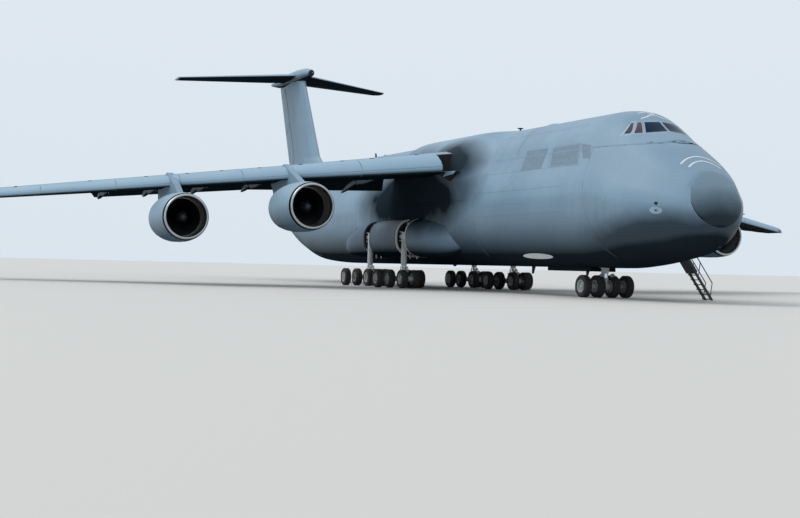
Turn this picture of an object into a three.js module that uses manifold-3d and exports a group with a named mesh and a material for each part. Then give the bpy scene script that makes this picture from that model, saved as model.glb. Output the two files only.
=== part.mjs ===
// A giant four-engined high-wing military transport plane with a T-tail, parked on its gear, as a 1:2 scale model.
// Stations are metres aft of the nose on the real aircraft, y is to its left, z is up from the ground.
// The model frame is millimetres with +X forward, +Y left, +Z up, and its origin on the ground under the middle.
import * as THREE from "three";
import { mergeVertices } from "three/addons/utils/BufferGeometryUtils.js";
import Module from "manifold-3d";

const wasm = await Module();
wasm.setup();

// Driving dimensions of the real aircraft, in metres.
const SCALE = 0.5;
const LENGTH = 75.31;
const SPAN = 67.89;
const BODY_HALF_WIDTH = 3.6;
const BODY_FLOOR = 1.65;
const BODY_CROWN = 10.13;
const SKIN = 0.16;
const SEAT_GAP = 0.0007;
const RUNNING_GAP = 0.014;
const PANEL_GAP = 0.05;
const MM = 1000 * SCALE;

// The body's cross section: two lobes joined by their common tangents.
const LOWER_LOBE = { radius: 3.6, centre: 5.25 };
const UPPER_LOBE = { radius: 2.75, centre: 7.38 };
const LOBE_TANGENT = Math.asin(
  (LOWER_LOBE.radius - UPPER_LOBE.radius) / (UPPER_LOBE.centre - LOWER_LOBE.centre),
);
// The lower lobe's underside is squarer than a circle, by this superellipse power.
const UNDERSIDE_POWER = 2.7;
const LOWER_STEPS = 8;
const UPPER_STEPS = 5;

// Body sections: station, height of belly and crown, half width, and how far the section is a plain ellipse.
const BODY = [
  { s: 0.0, belly: 4.42, crown: 4.58, half: 0.08, round: 1 },
  { s: 0.08, belly: 4.02, crown: 4.96, half: 0.5, round: 1 },
  { s: 0.3, belly: 3.62, crown: 5.56, half: 1.08, round: 1 },
  { s: 0.85, belly: 3.12, crown: 6.26, half: 1.77, round: 0.9 },
  { s: 1.65, belly: 2.74, crown: 6.9, half: 2.35, round: 0.7 },
  { s: 2.6, belly: 2.38, crown: 7.53, half: 2.84, round: 0.5 },
  { s: 3.9, belly: 2.15, crown: 8.28, half: 3.21, round: 0.22 },
  { s: 4.94, belly: 2.02, crown: 8.86, half: 3.4, round: 0.13 },
  { s: 5.73, belly: 1.9, crown: 9.4, half: 3.45, round: 0.05 },
  { s: 6.93, belly: 1.77, crown: 9.98, half: 3.58, round: 0 },
  { s: 8.5, belly: 1.66, crown: BODY_CROWN, half: BODY_HALF_WIDTH, round: 0 },
  { s: 11, belly: BODY_FLOOR, crown: BODY_CROWN, half: BODY_HALF_WIDTH, round: 0 },
  { s: 49, belly: BODY_FLOOR, crown: BODY_CROWN, half: BODY_HALF_WIDTH, round: 0 },
  { s: 53, belly: 1.78, crown: 10.13, half: 3.57, round: 0 },
  { s: 56, belly: 2.4, crown: 10.12, half: 3.48, round: 0 },
  { s: 59.3, belly: 3.37, crown: 10.08, half: 3.24, round: 0.1 },
  { s: 63, belly: 4.85, crown: 10.0, half: 2.76, round: 0.3 },
  { s: 67, belly: 6.5, crown: 9.85, half: 2.05, round: 0.6 },
  { s: 70, belly: 7.65, crown: 9.6, half: 1.3, round: 0.9 },
  { s: 72.2, belly: 8.55, crown: 9.3, half: 0.42, round: 1 },
];

// Seam planes of the body.
const DECK_SEAM = 8.0;
const DECK_END = 16.5;
const CENTRE_FRONT = 20.2;
const CENTRE_END = 40.5;
// The visor's aft edge from the top seam to the belly, as station and height.
const VISOR_EDGE = [
  [7.62, DECK_SEAM],
  [7.59, 7.4],
  [7.5, 6.8],
  [7.15, 4.9],
  [6.2, 3.06],
  [5.85, 1.2],
];
const VISOR_HINGE = { s: 3.55, z: 8.06, lugHalf: 0.35 };
// The radome's edge leans back: station and height of two of its points.
const RADOME_EDGE = [
  [0, 3],
  [1.9, 9],
];
const HOLD = { front: 5, end: 51.4, floor: 2.75, ceiling: 6.85 };
// The hold's right side from the floor to the ceiling, as y and height.
const HOLD_SIDE = [
  [2.5, HOLD.floor],
  [2.9, 3.4],
  [2.9, 6.0],
  [2.6, HOLD.ceiling],
];
// The troop deck over the aft hold, from the wing's rear to the tail.
const TROOP_DECK = { end: 62, half: 2.2, floor: 7.1, shoulder: 8.6, ceiling: 9.75, ridge: 1.1 };
const RAMP = { front: 51.6, half: 2.4, hinge: 1.74, toe: 58.6, toeHeight: 3.1 };
const REAR_DOOR = { front: 58.85, end: 65.2, half: 1.55, thick: 0.4, slope: 0.405 };

const PAINT = { color: "#7f97a8", roughness: 0.75, metalness: 0.1 };
const RADOME_PAINT = { color: "#6f7f8b", roughness: 0.7, metalness: 0.05 };
const GLAZING = { color: "#2b3f5a", roughness: 0.08, metalness: 0 };
const METAL = { color: "#c4c8cb", roughness: 0.3, metalness: 0.9 };
const GEAR_PAINT = { color: "#d3d7d8", roughness: 0.5, metalness: 0.1 };
const TYRE = { color: "#26272a", roughness: 0.9, metalness: 0 };
const DARK_METAL = { color: "#55585b", roughness: 0.45, metalness: 0.8 };

const plane = new THREE.Group();

/** A real place (station, y, z in metres) as model millimetres. */
const at = ([s, y, z]) => [(LENGTH / 2 - s) * MM, y * MM, z * MM];

/** A closed geometry in model millimetres as a solid, its faces turned outwards. */
function solidOf(geometry) {
  const bare = geometry.index ? geometry.toNonIndexed() : geometry;
  bare.deleteAttribute("normal");
  bare.deleteAttribute("uv");
  const merged = mergeVertices(bare, 1e-3);
  const place = merged.attributes.position.array;
  const faces = [];
  let volume = 0;
  for (let i = 0; i < merged.index.count; i += 3) {
    const [a, b, c] = [0, 1, 2].map((k) => merged.index.array[i + k]);
    if (a === b || b === c || a === c) continue;
    faces.push([a, b, c]);
    const [p, q, r] = [a, b, c].map((v) => new THREE.Vector3().fromArray(place, 3 * v));
    volume += p.dot(q.cross(r));
  }
  const triVerts = new Uint32Array(faces.flatMap(([a, b, c]) => (volume < 0 ? [a, c, b] : [a, b, c])));
  return new wasm.Manifold(new wasm.Mesh({ numProp: 3, vertProperties: place, triVerts }));
}

/** Rings of equally many real places joined into a closed skin with flat ends. */
function loft(rings) {
  const n = rings[0].length;
  const middle = (ring) => [0, 1, 2].map((k) => ring.reduce((sum, p) => sum + p[k], 0) / n);
  const points = [...rings.flat(), middle(rings[0]), middle(rings.at(-1))];
  const first = rings.length * n;
  const index = [];
  for (let i = 0; i < n; i++) {
    const j = (i + 1) % n;
    index.push(first, j, i, first + 1, first - n + i, first - n + j);
    for (let k = 0; k < first - n; k += n) index.push(k + i, k + j, k + n + j, k + i, k + n + j, k + n + i);
  }
  const geometry = new THREE.BufferGeometry();
  geometry.setAttribute("position", new THREE.Float32BufferAttribute(points.flatMap(at), 3));
  geometry.setIndex(index);
  return solidOf(geometry);
}

/** A box between two stations, two y and two heights. */
function box(s0, s1, y0, y1, z0, z1) {
  const geometry = new THREE.BoxGeometry((s1 - s0) * MM, (y1 - y0) * MM, (z1 - z0) * MM);
  return solidOf(geometry.translate(...at([(s0 + s1) / 2, (y0 + y1) / 2, (z0 + z1) / 2])));
}

/** A closed outline in two of the real axes as a shape in model millimetres. */
const shapeOf = (outline) => new THREE.Shape(outline.map(([u, v]) => new THREE.Vector2(u, v)));

/** A side outline of station and height, from y0 to y1. */
function sideSlab(outline, y0, y1) {
  const shape = shapeOf(outline.map(([s, z]) => [at([s, 0, z])[0], z * MM]));
  const geometry = new THREE.ExtrudeGeometry(shape, { depth: (y1 - y0) * MM, bevelEnabled: false });
  return solidOf(geometry.rotateX(Math.PI / 2).translate(0, y1 * MM, 0));
}

/** A plan outline of station and y, from z0 to z1. */
function planSlab(outline, z0, z1) {
  const shape = shapeOf(outline.map(([s, y]) => at([s, y, 0])));
  const geometry = new THREE.ExtrudeGeometry(shape, { depth: (z1 - z0) * MM, bevelEnabled: false });
  return solidOf(geometry.translate(0, 0, z0 * MM));
}

/** A front outline of y and height, from one station to another. */
function frontSlab(outline, s0, s1) {
  const shape = shapeOf(outline.map(([y, z]) => [y * MM, z * MM]));
  const geometry = new THREE.ExtrudeGeometry(shape, { depth: (s1 - s0) * MM, bevelEnabled: false });
  const [x, y, z] = [new THREE.Vector3(1, 0, 0), new THREE.Vector3(0, 1, 0), new THREE.Vector3(0, 0, 1)];
  return solidOf(geometry.applyMatrix4(new THREE.Matrix4().makeBasis(y, z, x)).translate(at([s1, 0, 0])[0], 0, 0));
}

/** A round bar or cone between two real places. */
function rod(from, to, radius, { endRadius = radius, sides = 12, halfStep = false } = {}) {
  const [a, b] = [from, to].map((p) => new THREE.Vector3(...at(p)));
  const run = b.clone().sub(a);
  const start = halfStep ? Math.PI / sides : 0;
  const geometry = new THREE.CylinderGeometry(endRadius * MM, radius * MM, run.length(), sides, 1, false, start);
  const turn = new THREE.Quaternion().setFromUnitVectors(new THREE.Vector3(0, 1, 0), run.clone().normalize());
  return solidOf(geometry.applyQuaternion(turn).translate(...a.add(b).divideScalar(2).toArray()));
}

/** The corner radius of a many-sided bore whose flats clear a round pin by a seat gap. */
const boreFor = (pin, sides) => (pin + SEAT_GAP) / Math.cos(Math.PI / sides);

/** A profile of [distance, radius] turned about a line through a place, running aft or to the left. */
function turned(profile, centre, { along = "aft", sides = 20 } = {}) {
  const points = profile.map(([distance, radius]) => new THREE.Vector2(radius * MM, distance * MM));
  const geometry = new THREE.LatheGeometry(points, sides);
  if (along === "aft") geometry.rotateZ(Math.PI / 2);
  return solidOf(geometry.translate(...at(centre)));
}

/** Several solids joined into one. */
const join = (...solids) => solids.reduce((whole, next) => whole.add(next));

/** The mirror image across the plane of symmetry. */
const mirrored = (solid) => solid.mirror([0, 1, 0]);

/** Adds one named piece to the plane. */
function piece(name, solid, finish) {
  const { vertProperties, triVerts } = solid.getMesh();
  const geometry = new THREE.BufferGeometry();
  geometry.setAttribute("position", new THREE.BufferAttribute(vertProperties, 3));
  geometry.setIndex(new THREE.BufferAttribute(triVerts, 1));
  geometry.computeVertexNormals();
  const mesh = new THREE.Mesh(geometry, new THREE.MeshStandardMaterial(finish));
  mesh.name = name;
  plane.add(mesh);
}

/** Adds a left piece and its mirror image. */
function pair(name, solid, finish) {
  piece(`${name}_left`, solid, finish);
  piece(`${name}_right`, mirrored(solid), finish);
}

/** The body's outline at full size as [y, z] shares of its half width and height, right side up and left side down. */
function bodyOutline() {
  const arc = (lobe, from, to, steps) =>
    Array.from({ length: steps + 1 }, (_, i) => {
      const angle = from + ((to - from) * i) / steps;
      const power = angle < 0 ? 2 / UNDERSIDE_POWER : 1;
      const [across, up] = [Math.cos(angle), Math.sin(angle)].map((v) => Math.sign(v) * Math.abs(v) ** power);
      return [lobe.radius * across, lobe.centre + lobe.radius * up];
    });
  const side = [
    ...arc(LOWER_LOBE, -Math.PI / 2, LOBE_TANGENT, LOWER_STEPS),
    ...arc(UPPER_LOBE, LOBE_TANGENT, Math.PI / 2, UPPER_STEPS),
  ].map(([y, z]) => [y / BODY_HALF_WIDTH, (z - BODY_FLOOR) / (BODY_CROWN - BODY_FLOOR)]);
  const far = side.slice(1, -1).reverse();
  return [...side.map(([y, z]) => [-Math.abs(y), z]), ...far.map(([y, z]) => [y, z])];
}
const OUTLINE = bodyOutline();

/** One ring of the body, drawn in by a wall thickness. */
function bodyRing({ s, belly, crown, half, round }, inset) {
  const [low, high, wide] = [belly + inset, crown - inset, half - inset];
  return OUTLINE.map(([y, z]) => {
    const angle = Math.atan2(2 * z - 1, y);
    const across = THREE.MathUtils.lerp(y, Math.cos(angle), round);
    const up = THREE.MathUtils.lerp(z, (1 + Math.sin(angle)) / 2, round);
    return [s, across * wide, low + up * (high - low)];
  });
}

/** The whole body as a solid, drawn in by a wall thickness and moved aft by it at the nose. */
function body(inset) {
  const rows = inset > 0 ? BODY.filter(({ half }) => half > 1.2 + inset) : BODY;
  return loft(rows.map((row) => bodyRing({ ...row, s: row.s < 4 ? row.s + Math.max(inset, 0) : row.s }, inset)));
}

// Fuselage: four shells around the hold, the flight deck on top and the hinged parts at both ends.
const FAR = 12;
const hull = body(0);
const within = (s0, s1, z0 = -1, z1 = FAR) => box(s0, s1, -FAR, FAR, z0, z1);

/** The visor's aft edge moved aft by a gap, as the side outline of all that lies ahead of it under the seam. */
const aheadOfSeam = (gap) => [
  [-2, DECK_SEAM + gap],
  ...VISOR_EDGE.map(([s, z]) => [s + gap, z === DECK_SEAM ? z + gap : z]),
  [-2, 1.2],
];

const holdOutline = [...HOLD_SIDE, ...HOLD_SIDE.map(([y, z]) => [-y, z]).reverse()];
const holdSpace = frontSlab(holdOutline, HOLD.front, HOLD.end);
// The way out over the ramp and between the rear doors, as a side outline.
const rearSpace = sideSlab(
  [
    [HOLD.end - 0.5, HOLD.floor],
    [RAMP.front + 0.02, HOLD.floor],
    [RAMP.toe + 0.1, RAMP.toeHeight + 1.25],
    [RAMP.toe + 0.5, RAMP.toeHeight + 0.6],
    [REAR_DOOR.end, 6.6],
    [REAR_DOOR.end, 7.0],
    [60, 7.0],
    [HOLD.end - 0.5, HOLD.ceiling],
  ],
  -REAR_DOOR.half,
  REAR_DOOR.half,
);
const troopSpace = frontSlab(
  [
    [TROOP_DECK.half, TROOP_DECK.floor],
    [TROOP_DECK.half, TROOP_DECK.shoulder],
    [TROOP_DECK.ridge, TROOP_DECK.ceiling],
    [-TROOP_DECK.ridge, TROOP_DECK.ceiling],
    [-TROOP_DECK.half, TROOP_DECK.shoulder],
    [-TROOP_DECK.half, TROOP_DECK.floor],
  ],
  CENTRE_END - 1,
  TROOP_DECK.end,
);
const rampOutline = (gap) => [
  [RAMP.front - gap, -1],
  [RAMP.front - gap, HOLD.floor + gap],
  [RAMP.toe - 0.42 + gap, RAMP.toeHeight + 1.35 + gap],
  [RAMP.toe + gap, RAMP.toeHeight - 0.02],
  [RAMP.toe + gap, -1],
];
const rampSpace = sideSlab(rampOutline(0), -RAMP.half - PANEL_GAP, RAMP.half + PANEL_GAP);
const overRamp = box(HOLD.end - 0.5, 57.6, -RAMP.half - PANEL_GAP, RAMP.half + PANEL_GAP, HOLD.floor, HOLD.ceiling);

const DOOR_ALONG = [Math.cos(REAR_DOOR.slope), Math.sin(REAR_DOOR.slope)];
const doorCorner = [REAR_DOOR.front, 3.35];
/** A point of the rear doors' side outline: metres up the slope and across it from the lower front corner. */
const onDoor = (run, rise) => [
  doorCorner[0] + run * DOOR_ALONG[0] - rise * DOOR_ALONG[1],
  doorCorner[1] + run * DOOR_ALONG[1] + rise * DOOR_ALONG[0],
];
const doorRun = (REAR_DOOR.end - REAR_DOOR.front) / DOOR_ALONG[0];
const doorOutline = (gap) => [
  onDoor(-gap, -1.4),
  onDoor(-gap, REAR_DOOR.thick + gap),
  onDoor(doorRun + gap, REAR_DOOR.thick + gap),
  onDoor(doorRun + gap, -1.4),
];
const doorSpace = sideSlab(doorOutline(PANEL_GAP), -REAR_DOOR.half - PANEL_GAP, REAR_DOOR.half + PANEL_GAP);

const NOSE_BAY = { s0: 9.75, s1: 15.8, half: 0.8, roof: 2.55 };
const NOSE_BAY_DOOR = { s0: 10.9, low: 1.44, high: 1.95, thick: 0.05 };
const CREW_DOOR = { s0: 7.3, s1: 8.2, sill: 2.75, head: 4.5, foot: 4.9 };
const noseBay = box(NOSE_BAY.s0, NOSE_BAY.s1, -NOSE_BAY.half, NOSE_BAY.half, 1, NOSE_BAY.roof);
const doorway = box(CREW_DOOR.s0, CREW_DOOR.s1, 2, 5, CREW_DOOR.sill, CREW_DOOR.head);

const forward = hull
  .intersect(within(5, CENTRE_FRONT - SEAT_GAP))
  .subtract(sideSlab(aheadOfSeam(RUNNING_GAP), -FAR, FAR))
  .subtract(within(-1, DECK_END, DECK_SEAM))
  .subtract(join(holdSpace, noseBay, doorway));
piece("fuselage_forward", forward, PAINT);
const bayDoorEdge = NOSE_BAY.half - SEAT_GAP;
const bayDoor = box(
  NOSE_BAY_DOOR.s0,
  NOSE_BAY.s1 - SEAT_GAP,
  bayDoorEdge - NOSE_BAY_DOOR.thick,
  bayDoorEdge,
  NOSE_BAY_DOOR.low,
  NOSE_BAY_DOOR.high,
);
pair("nose_bay_door", bayDoor, PAINT);
piece(
  "fuselage_centre",
  hull.intersect(within(CENTRE_FRONT, CENTRE_END - SEAT_GAP)).subtract(holdSpace),
  PAINT,
);
const RAMP_LUGS = [-1.6, 0, 1.6];
const rampLugs = RAMP_LUGS.map((y) =>
  box(RAMP.front - 0.05, RAMP.front + PANEL_GAP - SEAT_GAP, y - 0.12, y + 0.12, 1.82, 2.3),
);
const doorLugs = [0.2, 0.5, 0.8].flatMap((share) => {
  const [s, z] = onDoor(share * doorRun, 0.28);
  const [inner, outer] = [REAR_DOOR.half + SEAT_GAP, REAR_DOOR.half + 0.2];
  return [[inner, outer], [-outer, -inner]].map(([y0, y1]) => box(s - 0.1, s + 0.1, y0, y1, z - 0.07, z + 0.07));
});
piece(
  "fuselage_aft",
  hull
    .intersect(within(CENTRE_END, LENGTH))
    .subtract(join(holdSpace, troopSpace, overRamp, rearSpace, rampSpace, doorSpace))
    .add(join(...rampLugs, ...doorLugs)),
  PAINT,
);

// The flight deck, hollow over the seam, with its panes cut out and one band of glazing behind them.
const deckInner = body(SKIN);
const glazingOuter = body(SKIN + 0.0013);
const glazingInner = body(SKIN + 0.05);
const DECK = { front: VISOR_HINGE.s + 0.2, floor: DECK_SEAM + 0.2, end: DECK_END - 0.2 };
// Windscreen panes seen from the front, from the middle outwards, as y and height of their corners.
const PANES = [
  [
    [0.06, 8.75],
    [1.25, 8.62],
    [0.89, 9.27],
    [0.06, 9.32],
  ],
  [
    [1.37, 8.62],
    [1.72, 8.6],
    [1.18, 9.25],
    [1.0, 9.27],
  ],
  [
    [1.83, 8.59],
    [2.05, 8.58],
    [1.47, 9.2],
    [1.29, 9.24],
  ],
];
const PANE_REACH = { front: DECK.front, end: 7.4 };
const paneHoles = join(
  ...PANES.flatMap((pane) =>
    [1, -1].map((side) =>
      frontSlab(
        pane.map(([y, z]) => [side * y, z]),
        PANE_REACH.front,
        PANE_REACH.end,
      ),
    ),
  ),
);
const LUG_RADIUS = VISOR_HINGE.z - DECK_SEAM - SEAT_GAP;
/** The lug of the visor's hinge, round at its front and running aft into the flight deck. */
function hingeLug({ s, z, lugHalf }) {
  return join(
    rod([s, -lugHalf, z], [s, lugHalf, z], LUG_RADIUS),
    box(s, DECK.front + 0.1, -lugHalf, lugHalf, z - LUG_RADIUS * 0.96, z + LUG_RADIUS),
  );
}
const deckRoom = deckInner.intersect(within(DECK.front + 0.25, DECK.end, DECK.floor));
piece(
  "flight_deck",
  hull
    .intersect(within(DECK.front, DECK_END - SEAT_GAP, DECK_SEAM + SEAT_GAP))
    .subtract(join(deckRoom, paneHoles))
    .add(hingeLug(VISOR_HINGE)),
  PAINT,
);
const band = within(4.3, 7.2, 8.45, 9.4);
piece("flight_deck_glass", glazingOuter.subtract(glazingInner).intersect(band), GLAZING);

// The visor: the whole nose ahead of the hold, hinged at its top front edge, with the radome on its tip.
/** All that lies ahead of the radome's edge, drawn forward by a gap. */
const radomeSide = (gap) =>
  sideSlab([[-2, RADOME_EDGE[0][1]], ...RADOME_EDGE.map(([s, z]) => [s - gap, z]), [-2, RADOME_EDGE[1][1]]], -FAR, FAR);
const visorRoom = body(0.22).intersect(within(0, 9, 0, DECK_SEAM - 0.15));
piece(
  "nose_visor",
  hull
    .intersect(sideSlab(aheadOfSeam(0), -FAR, FAR))
    .subtract(within(DECK.front, 9, DECK_SEAM - RUNNING_GAP))
    .subtract(join(visorRoom, radomeSide(0))),
  PAINT,
);
piece("nose_radome", hull.intersect(radomeSide(SEAT_GAP)), RADOME_PAINT);

// The ramp and the two rear doors.
piece(
  "aft_ramp",
  hull.intersect(sideSlab(rampOutline(-PANEL_GAP), -RAMP.half, RAMP.half)),
  PAINT,
);
const rearDoor = hull.intersect(sideSlab(doorOutline(0), PANEL_GAP / 2, REAR_DOOR.half));
pair("aft_door", rearDoor, PAINT);

// Wings: an aerofoil with its slats drooped, from the body's side to the tip.
// Shares of the chord: distance from the leading edge, upper face, lower face.
const AEROFOIL = [
  [0, -0.03, -0.05],
  [0.02, -0.002, -0.056],
  [0.08, 0.036, -0.052],
  [0.2, 0.06, -0.053],
  [0.4, 0.07, -0.055],
  [0.65, 0.055, -0.035],
  [0.85, 0.026, -0.012],
  [1, 0.004, -0.003],
];
const WING = { leadRoot: 19.9, sweep: 0.534, rootChord: 13.85, kink: 13.5, kinkChord: 8.65, tipChord: 4.67 };
const WING_HEIGHT = { root: 8.62, fall: 0.0985 };
// How far the trailing edge lies below the leading edge: the wing is set nose up, less and less towards the tip.
const TRAIL_DROP = { root: 0.62, kink: 0.31, tip: 0 };
// The flap hangs lowered by some degrees, on a hinge line a little under its lower face.
const FLAP = { y0: 5.2, y1: 24, share0: 0.72, share1: 0.74, lowered: 15, under: 0.02 };
const AILERON = { y0: 24.3, y1: 32.6, share0: 0.76, share1: 0.76 };
// The slats stop short of the body: how far out, and how much of the chord is missing inboard of it.
const SLAT_END = { y: 4.75, share: 0.1 };
const halfSpan = SPAN / 2;

const chordAt = (y) =>
  y < WING.kink
    ? THREE.MathUtils.mapLinear(y, 0, WING.kink, WING.rootChord, WING.kinkChord)
    : THREE.MathUtils.mapLinear(y, WING.kink, halfSpan, WING.kinkChord, WING.tipChord);
const leadAt = (y) => WING.leadRoot + WING.sweep * y;
const trailDrop = (y) =>
  y < WING.kink
    ? THREE.MathUtils.mapLinear(y, 0, WING.kink, TRAIL_DROP.root, TRAIL_DROP.kink)
    : THREE.MathUtils.mapLinear(y, WING.kink, halfSpan, TRAIL_DROP.kink, TRAIL_DROP.tip);
/** The height of the wing's chord line out at y, at a share of the chord. */
const wingHeight = (y, share = 0) => WING_HEIGHT.root - WING_HEIGHT.fall * y - share * trailDrop(y);

/** A closed aerofoil ring from its leading edge, chord, and a way to place a share of the chord across it. */
function foilRing(lead, chord, place, foil = AEROFOIL) {
  const upper = foil.map(([along, up]) => place(lead + along * chord, up * chord, along));
  const lower = foil.map(([along, , down]) => place(lead + along * chord, down * chord, along)).reverse();
  return [...upper, ...lower];
}
const wingRing = (y, grow = 1) =>
  foilRing(leadAt(y), chordAt(y) * grow, (s, up, along) => [s, y, wingHeight(y, along) + up]);

const WING_STATIONS = [1.2, WING.kink, halfSpan - 0.35];
const wingWhole = loft([...WING_STATIONS.map((y) => wingRing(y)), wingRing(halfSpan, 0.93)]);

/** A surface's hinge line as its two plan points. */
const hingeLine = ({ y0, y1, share0, share1 }) => [
  [leadAt(y0) + share0 * chordAt(y0), y0],
  [leadAt(y1) + share1 * chordAt(y1), y1],
];
const SURFACE_REACH = 7;
/** The outline aft of a hinge line, widened by one gap ahead and by another at both ends, which are square to the line. */
function aftOf([from, to], gap, ends = gap) {
  const [a, b] = [new THREE.Vector2(...from), new THREE.Vector2(...to)];
  const along = b.clone().sub(a).normalize();
  const aft = new THREE.Vector2(along.y, -along.x);
  const corner = (p, out, back) => p.clone().addScaledVector(along, out).addScaledVector(aft, back).toArray();
  return [corner(a, -ends, -gap), corner(b, ends, -gap), corner(b, ends, SURFACE_REACH), corner(a, -ends, SURFACE_REACH)];
}
/** A surface's round nose on its hinge line, short of both ends. */
function nose(line, radius, heightAt) {
  const [from, to] = [0.03, 0.97].map((k) => {
    const [s, y] = [0, 1].map((axis) => THREE.MathUtils.lerp(line[0][axis], line[1][axis], k));
    return [s, y, heightAt(y)];
  });
  return rod(from, to, radius);
}
const AILERON_NOSE = 0.1;
const aileronMiddle = (y) => wingHeight(y, AILERON.share0) + 0.0087 * chordAt(y);
const FLAP_END_GAP = 0.1;
const flapZone = (gap, ends = gap) => planSlab(aftOf(hingeLine(FLAP), gap, ends), 3, FAR);
const aileronZone = (gap, ends) => planSlab(aftOf(hingeLine(AILERON), gap, ends), 3, FAR);
// Stubs of the wing's rear edge that reach to the flap, as y.
const FLAP_STOPS = [5.6, 13.8, 22.8];
const flapStops = join(...FLAP_STOPS.map((y) => box(20, 45, y - 0.12, y + 0.12, 3, FAR)));
const slatGap = planSlab(
  [
    [15, 0],
    [15, SLAT_END.y],
    [leadAt(SLAT_END.y) + SLAT_END.share * chordAt(SLAT_END.y), SLAT_END.y],
    [leadAt(0) + SLAT_END.share * chordAt(0), 0],
  ],
  3,
  FAR,
);
const flapBay = join(flapZone(PANEL_GAP, FLAP_END_GAP).subtract(flapStops), flapZone(SEAT_GAP));
/** The wing's lower face at a share of the chord, as a share of the chord. */
function lowerFace(share) {
  const next = AEROFOIL.findIndex(([along]) => along > share);
  const [[a, , low], [b, , high]] = [AEROFOIL[next - 1], AEROFOIL[next]];
  return THREE.MathUtils.mapLinear(share, a, b, low, high);
}
/** The flap's hinge as two places, the outer one first. */
const flapHinge = hingeLine(FLAP)
  .map(([s, y], k) => {
    const share = k ? FLAP.share1 : FLAP.share0;
    return [s, y, wingHeight(y, share) + lowerFace(share) * chordAt(y) - FLAP.under];
  })
  .reverse();
// A pin on the hinge line at both end stops, and the knuckle ahead of it that joins it to the stop.
const FLAP_PIN = { half: 0.12, radius: FLAP.under + 0.0004 };
const FLAP_KNUCKLE = { ahead: 0.04, up: 0.01, radius: 0.035 };
/** A rod beside the flap's hinge line at a stop. */
function hingeRod(y, { ahead = 0, up = 0, radius }) {
  const [from, to] = [y - FLAP_PIN.half, y + FLAP_PIN.half].map((out) => {
    const k = (out - FLAP.y0) / (FLAP.y1 - FLAP.y0);
    const [s, , z] = [0, 1, 2].map((axis) => THREE.MathUtils.lerp(flapHinge[1][axis], flapHinge[0][axis], k));
    return [s - ahead, out, z + up];
  });
  return rod(from, to, radius);
}
const endStops = [FLAP_STOPS[0], FLAP_STOPS.at(-1)];
const flapPins = join(...endStops.flatMap((y) => [hingeRod(y, FLAP_PIN), hingeRod(y, FLAP_KNUCKLE)]));
const bodySide = body(-SEAT_GAP * 1.4);
const wingCuts = join(bodySide, slatGap, flapBay, aileronZone(AILERON_NOSE + SEAT_GAP, PANEL_GAP));
pair("wing", wingWhole.subtract(wingCuts).add(flapPins), PAINT);
/** A solid turned by degrees about the line from one place to another, right-handed. */
function turnedAbout(solid, [from, to], degrees) {
  const [a, b] = [from, to].map((p) => new THREE.Vector3(...at(p)));
  const turn = new THREE.Matrix4().makeRotationAxis(b.sub(a).normalize(), THREE.MathUtils.degToRad(degrees));
  const shift = new THREE.Matrix4().makeTranslation(a.x, a.y, a.z);
  return solid.transform(shift.clone().multiply(turn).multiply(shift.clone().invert()).elements);
}
const flap = turnedAbout(wingWhole.intersect(flapZone(0)), flapHinge, FLAP.lowered);
pair("flap", flap, PAINT);
pair(
  "aileron",
  wingWhole.intersect(aileronZone(0)).add(nose(hingeLine(AILERON), AILERON_NOSE, aileronMiddle)),
  PAINT,
);

// Fin, its top fairing, rudders, stabiliser and elevators.
const FIN_FOIL = [
  [0, 0.004, -0.004],
  [0.03, 0.022, -0.022],
  [0.12, 0.044, -0.044],
  [0.35, 0.058, -0.058],
  [0.7, 0.038, -0.038],
  [1, 0.005, -0.005],
];
// Fin sections: height, leading edge station, trailing edge station.
const FIN = [
  { z: 9.3, lead: 56.6, trail: 67.9 },
  { z: 10.35, lead: 58.9, trail: 68.4 },
  { z: 11.2, lead: 60.15, trail: 68.85 },
  { z: 18.75, lead: 64.95, trail: 72.3 },
];
const RUDDER = { share: 0.72, low: 11.35, split: 14.8, high: 18.35 };
const finWhole = loft(
  FIN.map(({ z, lead, trail }) => foilRing(lead, trail - lead, (s, across) => [s, across, z], FIN_FOIL)),
);
const finEdge = (z, share) => {
  const [low, high] = [FIN[2], FIN[3]];
  const k = (z - low.z) / (high.z - low.z);
  const lead = THREE.MathUtils.lerp(low.lead, high.lead, k);
  return lead + share * (THREE.MathUtils.lerp(low.trail, high.trail, k) - lead);
};
const rudderLine = (z0, z1) => [z0, z1].map((z) => [finEdge(z, RUDDER.share), z]);
const RUDDER_NOSE = 0.15;

// The fairing on top of the fin: station, height of its middle, half height, half width.
const BULLET = [
  { s: 62.55, z: 19.1, tall: 0.05, wide: 0.05 },
  { s: 62.9, z: 19.13, tall: 0.3, wide: 0.28 },
  { s: 64.2, z: 19.18, tall: 0.52, wide: 0.5 },
  { s: 66.5, z: 19.2, tall: 0.64, wide: 0.62 },
  { s: 70.5, z: 19.2, tall: 0.62, wide: 0.62 },
  { s: 73, z: 19.3, tall: 0.42, wide: 0.4 },
  { s: LENGTH, z: 19.42, tall: 0.12, wide: 0.1 },
];
const bulletWhole = loft(
  BULLET.map(({ s, z, tall, wide }) =>
    Array.from({ length: 16 }, (_, i) => {
      const angle = (i * Math.PI) / 8;
      return [s, wide * Math.cos(angle), z + tall * Math.sin(angle)];
    }),
  ),
);
const TAIL = { y0: 0.72, tip: 10.47, lead0: 65.6, lead1: 71.0, trail0: 71.5, trail1: 73.35, z0: 19.15, z1: 18.9 };
const TAIL_PIVOT = { s: 69.4, z: 19.15, radius: 0.28 };
const ELEVATOR = { share: 0.7, y0: 1.5, y1: 10.2 };
const TAIL_FOIL = FIN_FOIL.map(([along, up]) => [along, up * 0.9, -up * 0.9]);
const tailAt = (from, to, y) => THREE.MathUtils.mapLinear(y, TAIL.y0, TAIL.tip, from, to);
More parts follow.
